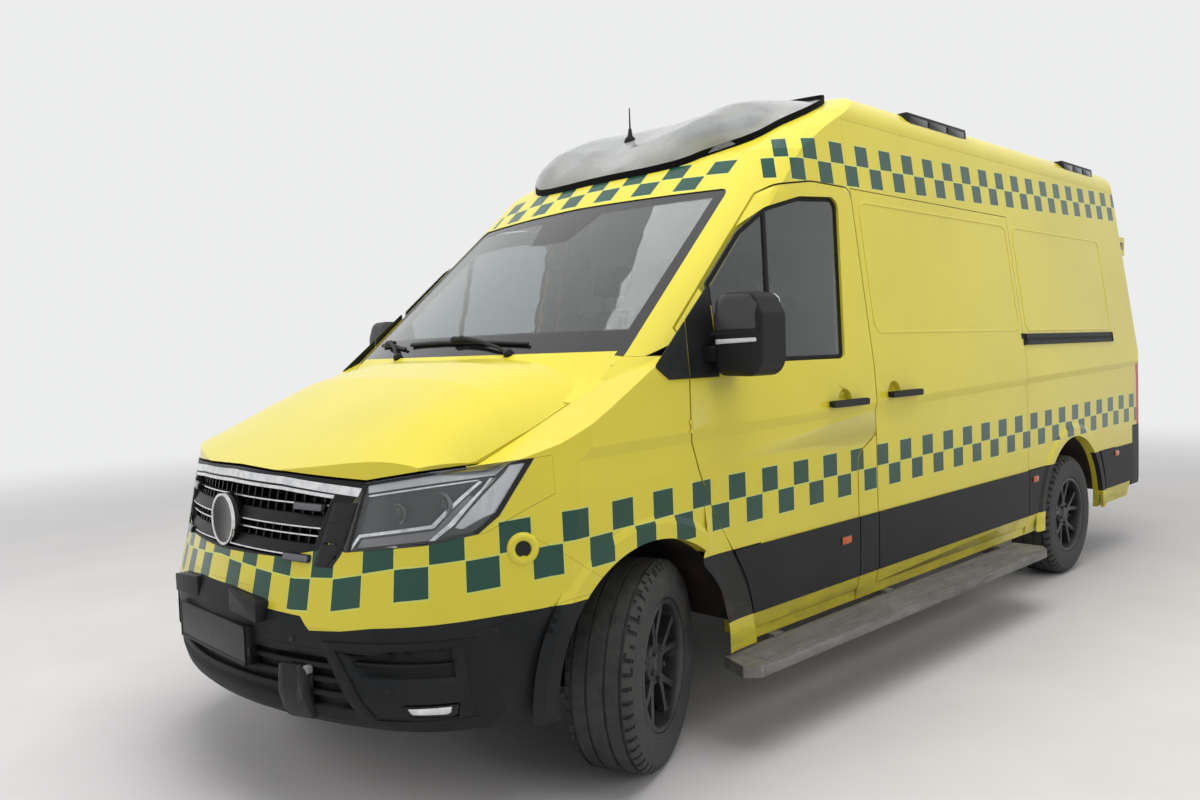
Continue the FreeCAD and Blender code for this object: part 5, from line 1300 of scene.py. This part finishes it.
def dress_scuttle():
    """Painted panel between the bonnet's rear edge and the foot of the windscreen, over the bonnet's hinges."""
    bonnet, glass = skin("bonnet"), skin("windscreen")
    half, screen_half, bonnet_half = 0.862, 0.80, 0.64
    screen_z = 1.392

    def bonnet_rear(x, screen_y):
        for i in range(1, 70):
            hit = bonnet.ray_cast(Vector((x, screen_y - 0.006 * i, 3)), Vector((0, 0, -1)))[0]
            if hit:
                return hit + Vector((0, 0, -0.007))
        return Vector((x, screen_y - 0.1, 1.33))

    bm = bmesh.new()
    bmesh.ops.create_grid(bm, x_segments=56, y_segments=6, size=1.0)
    rows = sorted({round(v.co.y, 4) for v in bm.verts})
    for v in bm.verts:
        x, row = v.co.x * half, rows.index(round(v.co.y, 4))
        foot = glass.ray_cast(Vector((max(min(x, screen_half), -screen_half), -4, screen_z)), Vector((0, 1, 0)))[0]
        screen = Vector((x, foot.y - 0.003 + max(0.0, abs(x) - screen_half) * 0.6, screen_z))
        inner = max(min(x, bonnet_half), -bonnet_half)
        rear = bonnet_rear(inner, glass.ray_cast(Vector((inner, -4, screen_z)), Vector((0, 1, 0)))[0].y)
        rear = rear.lerp(Vector((math.copysign(half, x), -2.0, 1.300)),
                         max(0.0, abs(x) - bonnet_half) / (half - bonnet_half))
        rear.x = x
        if row < 2:
            v.co = rear + (Vector((0, -0.13, -0.075)), Vector((0, -0.035, -0.022)))[row]
        else:
            v.co = rear.lerp(screen, (row - 2) / (len(rows) - 3))
    face_up(bm)
    bmesh.ops.solidify(bm, geom=bm.faces[:], thickness=0.003)
    piece("scuttle_panel", bm, PAINT_PLAIN, smooth=50.0)


dress_screen()
dress_scuttle()


# Cab: seats, dashboard fittings, door linings

PAD_VOXEL = 0.0095
PAD_FRAMES = 20


def swollen(bm, cap):
    """A pad blown up like a stuffed cushion, no point moving further than the cap."""
    mesh = bpy.data.meshes.new("pad")
    bm.to_mesh(mesh)
    bm.free()
    pad = bpy.data.objects.new("pad", mesh)
    bpy.context.scene.collection.objects.link(pad)
    remesh = pad.modifiers.new("remesh", "REMESH")
    remesh.mode = "VOXEL"
    remesh.voxel_size = PAD_VOXEL
    graph = bpy.context.evaluated_depsgraph_get()
    fine = bpy.data.meshes.new_from_object(pad.evaluated_get(graph))
    pad.modifiers.clear()
    pad.data = fine
    bpy.data.meshes.remove(mesh)
    before = [v.co.copy() for v in fine.vertices]
    cloth = pad.modifiers.new("cloth", "CLOTH")
    cloth.settings.use_pressure = True
    cloth.settings.uniform_pressure_force = 4.0
    cloth.settings.effector_weights.gravity = 0.0
    cloth.settings.quality = 5
    scene = bpy.context.scene
    for i in range(1, PAD_FRAMES + 1):
        scene.frame_set(i)
    graph = bpy.context.evaluated_depsgraph_get()
    blown = bpy.data.meshes.new_from_object(pad.evaluated_get(graph))
    after = [v.co.copy() for v in blown.vertices]
    pad.modifiers.clear()
    scene.frame_set(1)
    bpy.data.meshes.remove(blown)
    for v, was, now in zip(fine.vertices, before, after):
        move = now - was
        v.co = was + (move * (cap / move.length) if move.length > cap else move)
    result = bmesh.new()
    result.from_mesh(fine)
    bpy.data.objects.remove(pad)
    bpy.data.meshes.remove(fine)
    return result


def sewn(bm, lines, depth, width):
    """Channels pressed into a pad along lines, each (axis, place, test)."""
    bm.normal_update()
    moves = []
    for v in bm.verts:
        pull = 0.0
        for axis, place, reach in lines:
            gap = v.co[axis] - place
            if reach(v.co):
                pull = max(pull, math.exp(-(gap / width) ** 2))
        moves.append(-v.normal * depth * pull)
    for v, move in zip(bm.verts, moves):
        v.co += move


def dress_seats():
    pads = bmesh.new()
    lean = math.radians(7.0)
    block(pads, (0.205, -1.232, 0.905), (0.695, -0.735, 1.010))
    bevel_all(pads, 0.030, 3)
    back = bmesh.new()
    block(back, (0.215, -0.800, 0.985), (0.685, -0.700, 1.630))
    bmesh.ops.rotate(back, cent=(0, -0.75, 0.985), matrix=Matrix.Rotation(-lean, 3, "X"), verts=back.verts)
    bevel_all(back, 0.032, 3)
    head = bmesh.new()
    block(head, (0.335, -0.715, 1.675), (0.565, -0.630, 1.830))
    bmesh.ops.rotate(head, cent=(0, -0.67, 1.675), matrix=Matrix.Rotation(-lean, 3, "X"), verts=head.verts)
    bevel_all(head, 0.030, 3)
    soft = swollen(joined(pads, back, head), 0.022)
    on_top = lambda co: co.z > 0.93
    sewn(soft, [(0, 0.285, on_top), (0, 0.615, on_top), (1, -1.080, lambda co: co.z < 1.06 and 0.29 < co.x < 0.61),
                (2, 1.230, lambda co: 0.29 < co.x < 0.61), (2, 1.440, lambda co: 0.29 < co.x < 0.61)], 0.010, 0.008)
    bmesh.ops.smooth_vert(soft, verts=soft.verts, factor=0.3, use_axis_x=True, use_axis_y=True, use_axis_z=True)
    hard = joined(slab((0.250, -1.165, 0.601), (0.650, -0.790, 0.900), 0.012),
                  slab((0.196, -0.870, 0.880), (0.214, -0.690, 1.020), 0.008),
                  slab((0.686, -0.870, 0.880), (0.704, -0.690, 1.020), 0.008),
                  slab((0.395, -0.690, 1.610), (0.405, -0.675, 1.700), 0.003),
                  slab((0.495, -0.690, 1.610), (0.505, -0.675, 1.700), 0.003))
    for side, sign in BOTH:
        for name, half, material in (("seat_pads", soft, FABRIC), ("seat_frame", hard, DASH)):
            made = piece("%s_%s" % (name, side), sided(half, sign), material, smooth=60.0)
            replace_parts(made, "seats")
            name == "seat_pads"
    soft.free()
    hard.free()


def dress_dash():
    parts = [slab((0.215, -1.640, 1.290), (0.585, -1.490, 1.375), 0.030, 4),
             slab((-0.160, -1.560, 1.120), (0.150, -1.468, 1.345), 0.015, 3),
             slab((-0.720, -1.560, 1.020), (-0.250, -1.472, 1.190), 0.015, 3)]
    piece("dash_binnacle", joined(*parts), DASH)
    piece("dash_screens", joined(slab((-0.13, -1.4685, 1.2), (0.12, -1.465, 1.325), 0.0012),
            slab((0.25, -1.5, 1.3), (0.55, -1.488, 1.352), 0.004)), GLOSS)
    vents = []
    for x in (-0.790, -0.210, 0.200, 0.790):
        vents.append(turned(mm(-10, 0.5, -10, 44, 4, 43, 6, 38, 0, 34, -4, 0.5), 36, (x, -1.48, 1.215), (0, 1, 0.1)))
        vents += [slab((x - 0.034, -1.484, 1.215 + dz - 0.002), (x + 0.034, -1.474, 1.215 + dz + 0.002), 0.0008)
                  for dz in (-0.018, -0.006, 0.006, 0.018)]
    piece("dash_vents", joined(*vents), GLOSS)
    buttons = []
    for row in range(3):
        for col in range(5):
            x, z = -0.115 + col * 0.052, 1.185 - row * 0.018
            buttons.append(slab((x, -1.471, z - 0.012), (x + 0.044, -1.463, z), 0.002))
    piece("dash_buttons", joined(*buttons), BLACK)
    stalks = [arm([(0.4, -1.4, 1.205), (x, -1.37, 1.225), (end, -1.362, 1.232)], 0.016, 0.014)
              for x, end in ((0.27, 0.235), (0.53, 0.565))]
    piece("steering_stalks", joined(*stalks), BLACK)


def dress_door_linings():
    on = skin("front_door_left")
    both("door_lining", laid(mm(-1665, 860, -1560, 520, -1420, 425, -760, 425, -640, 900, -630, 1290, -1640, 1290),
            on, "inside", 0.01, 0.002, 0.05, 0.03, edge=0.004, start=0.0), DASH, "front_door_SIDE")
    both("door_armrest", joined(
            laid(mm(-1340, 925, -820, 925, -800, 990, -1300, 1005), on, "inside", 0.06, 0.002, 0.5, 0.02,
                 edge=0.01, flat=True, start=0.0),
            laid(mm(-1440, 470, -820, 470, -800, 640, -1400, 640), on, "inside", 0.04, 0.002, 0.5, 0.03,
                 edge=0.008, flat=True, start=0.0)), BLACK, "front_door_SIDE")
    both("door_pull", laid(mm(-1480, 1100, -1340, 1110, -1340, 1145, -1480, 1135), on, "inside", 0.022, 0.002, 0.5,
            0.012, edge=0.005, flat=True, start=0.0), BRIGHT, "front_door_SIDE")
    rear = skin("rear_door_left")
    both("rear_door_lining", laid(sheet_mm(60, 640, 780, 1270), rear, "front", 0.008, 0.002, 0.08, 0.04, edge=0.004,
            start=0.0), WALLS, "rear_door_SIDE")


dress_seats()
dress_dash()
dress_door_linings()


# Back: tail lamps, handle, plate, bumper fittings

def dress_back():
    lamp = skin("tail_lamps")
    for low, high, material, name in ((0.812, 0.872, PALE_LENS, "reverse"), (0.884, 0.972, AMBER_LENS, "indicator"),
                                      (0.984, 1.192, RED_LENS, "brake")):
        lens = laid([(0.922, low), (0.978, low), (0.978, high), (0.922, high)], lamp, "back", 0.005, 0.002, 0.01,
                    0.006, edge=0.002)
        both("tail_%s_lens" % name, lens, material)
    doors = skin("rear_door_left", "rear_door_right")
    ring = laid(sheet_mm(-170, 1120, -30, 1215), doors, "back", 0.006, 0.003, 0.5, 0.016, ring=0.012, edge=0.002)
    pull = laid(sheet_mm(-155, 1165, -45, 1200), doors, "back", 0.014, 0.002, 0.5, 0.01, edge=0.004)
    piece("rear_handle", joined(ring, pull), BLACK, body="rear_door_right")
    shape = sheet_mm(150, 880, 670, 1000)
    plate = laid(shape, doors, "back", 0.004, 0.002, 0.5, 0.006, edge=0.001)
    rim = laid(shape, doors, "back", 0.007, -0.002, 0.5, 0.006, ring=0.008, edge=0.001)
    piece("rear_plate_blank", plate, SCRATCHED, body="rear_door_left")
    piece("rear_plate_rim", rim, BLACK, body="rear_door_left")
    piece("rear_door_meeting_seal", laid(sheet_mm(6, 600, 22, 2290), doors, "back", 0.003, 0.002, 0.1), SEAL,
            "rear_door_left")
    hinge_bolts = []
    for z in (0.870, 1.400, 2.000):
        for dz in (-0.014, 0.014):
            hinge_bolts.append(turned(mm(-4, 0.5, -4, 8, 3, 7.5, 5, 5, 5.2, 0.5), 6, (0.79, 2.968, z + dz),
                    (0, 1, 0)))
    both("rear_hinge_bolts", joined(*hinge_bolts), CAST, "rear_door_SIDE")

    beam = skin("rear_bumper")
    ribs = [slab((-0.780, y, 0.5435), (0.780, y + 0.006, 0.5475), 0.0012, 1)
            for y in (2.872 + i * 0.012 for i in range(9))]
    piece("rear_step_ribs", joined(*ribs), BLACK)
    dots = []
    for x in (0.28, 0.72):
        hit = beam.ray_cast(Vector((x, 4, 0.475)), Vector((0, -1, 0)))
        dots.append(turned(mm(-6, 0.5, -6, 11.5, -1.2, 11.2, -0.6, 7, -0.2, 0.5), 28, hit[0], hit[1]))
    both("rear_parking_sensors", joined(*dots), GLOSS)
    both("rear_reflectors", laid(sheet_mm(800, 455, 900, 490), beam, "back", 0.0002, 0.004, 0.02, 0.005, edge=0.001),
            RED_LENS)


def dress_steps():
    ribs = []
    for i in range(10):
        x = 1.030 + i * 0.0135
        ribs.append(slab((x, -1.560, 0.3165), (x + 0.006, 0.760 - 0.03 * i * i / 10, 0.3205), 0.0012, 1))
    both("step_ribs", joined(*ribs), STEP)
    both("step_edge", laid(sheet_mm(-1600, 281, 775, 315), skin("side_steps"), "left", 0.002, 0.002, 0.2, 0.003,
            edge=0.0008), STEP)


def dress_load_space():
    both("ceiling_lights", joined(*[slab((0.3, start, 2.5), (0.42, start + 0.9, 2.52), 0.006)
                                    for start in (0.1, 1.4)]), PALE)
    both("ceiling_rail", arm([(0.62, -0.3, 2.44), (0.62, -0.28, 2.4), (0.62, 1.2, 2.4), (0.62, 2.6, 2.4),
            (0.62, 2.62, 2.44)], 0.03, 0.03), BRIGHT)


def dress_engine_bay():
    cover = joined(slab((-0.290, -2.430, 0.958), (0.290, -2.050, 1.010), 0.020, 3),
                   *[slab((-0.24, -2.39 + i * 0.085, 1.006), (0.24, -2.35 + i * 0.085, 1.018), 0.005)
                     for i in range(4)])
    core = joined(slab((-0.430, -2.640, 0.520), (0.430, -2.600, 0.930), 0.008),
                  *[slab((-0.42, -2.645, 0.54 + i * 0.024), (0.42, -2.595, 0.545 + i * 0.024), 0.001, 1)
                    for i in range(16)])
    fan_ring = turned(mm(-30, 150, -30, 185, 30, 190, 30, 155, -30, 150), 48, (0, -2.56, 0.73), (0, 1, 0))
    battery = joined(slab((0.340, -2.400, 0.760), (0.500, -2.140, 0.960), 0.012),
                     slab((0.350, -2.39, 0.958), (0.49, -2.15, 0.972), 0.006))
    tank = joined(slab((-0.5, -2.38, 0.8), (-0.35, -2.18, 0.98), 0.03, 4),
            turned(mm(-10, 0.5, -10, 28, 15, 26, 18, 0.5), 24, (-0.425, -2.28, 0.985), (0, 0, 1)))
    for name, mesh, material in (("engine_cover", cover, BLACK), ("radiator", core, LAMP_DARK),
                                 ("fan_ring", fan_ring, BLACK), ("battery", battery, BLACK),
                                 ("coolant_tank", tank, PALE)):
        piece(name, mesh, material)


dress_back()
dress_steps()
dress_load_space()
dress_engine_bay()


# Floor, light and camera

def studio():
    """A pale floor that melts into the backdrop far out, and a soft white room for the light."""
    bpy.ops.mesh.primitive_plane_add(size=60, location=(0, 0, 0))
    floor = bpy.context.object
    floor.name = "studio_floor"
    f = Finish("pale_floor")
    f.set(Base_Color=f.mix(f.noise(1.2, 5.0).span(0.35, 0.65), (0.62, 0.605, 0.60), (0.58, 0.567, 0.565)),
          Roughness=0.6)
    x, y, _ = f.axes()
    reach = (x * x + y * y).math("SQRT")
    far = f.field("ShaderNodeMapRange", (reach, 4.2, 13.0), interpolation_type="SMOOTHSTEP") * f.seen()
    glow = f.node("ShaderNodeEmission", (BACKDROP, 1.0)).outputs[0]
    blend = f.node("ShaderNodeMixShader", (far, f.shader.outputs[0], glow)).outputs[0]
    f.join(blend, f.tree.nodes["Material Output"].inputs["Surface"])
    floor.data.materials.append(f.material)

    world = bpy.data.worlds.new("studio")
    bpy.context.scene.world = world
    world.use_nodes = True
    room = Tree(world.node_tree)
    light, backdrop = (room.node("ShaderNodeBackground", values).outputs[0]
                       for values in ((WHITE, 0.42), (BACKDROP, 1.0)))
    blend = room.node("ShaderNodeMixShader", (room.seen(), light, backdrop)).outputs[0]
    room.join(blend, world.node_tree.nodes["World Output"].inputs["Surface"])


def soft_light(name, place, target, size, power):
    data = bpy.data.lights.new(name, "AREA")
    data.shape = "RECTANGLE"
    data.size, data.size_y = size
    data.energy = power
    made = bpy.data.objects.new(name, data)
    made.location = place
    made.rotation_euler = (Vector(target) - Vector(place)).to_track_quat("-Z", "Y").to_euler()
    made.visible_glossy = False
    bpy.context.scene.collection.objects.link(made)


def photo_camera():
    data = bpy.data.cameras.new("photo_camera")
    data.sensor_width = 36.0
    data.lens = 28.418
    data.clip_end = 200.0
    made = bpy.data.objects.new("photo_camera", data)
    right, up = Vector((0.6967, 0.7166, -0.0317)), Vector((-0.0132, 0.0569, 0.9983))
    right.normalize()
    back = right.cross(up).normalized()
    up = back.cross(right)
    turn = Matrix((right, up, back)).transposed().to_4x4()
    made.matrix_world = Matrix.Translation((3.0581, -4.1748, 1.3859)) @ turn
    bpy.context.scene.collection.objects.link(made)
    bpy.context.scene.camera = made


studio()
soft_light("overhead_softbox", (0.5, -1.0, 7.5), (0, 0, 0), (7, 7), 600)
soft_light("front_softbox", (-3.0, -8.5, 4.5), (0, -1.5, 1.0), (6, 4), 200)
soft_light("side_softbox", (9.0, 0.5, 4.5), (0, 0.5, 1.0), (8, 4), 190)
photo_camera()
bpy.context.scene.view_settings.view_transform = "Standard"
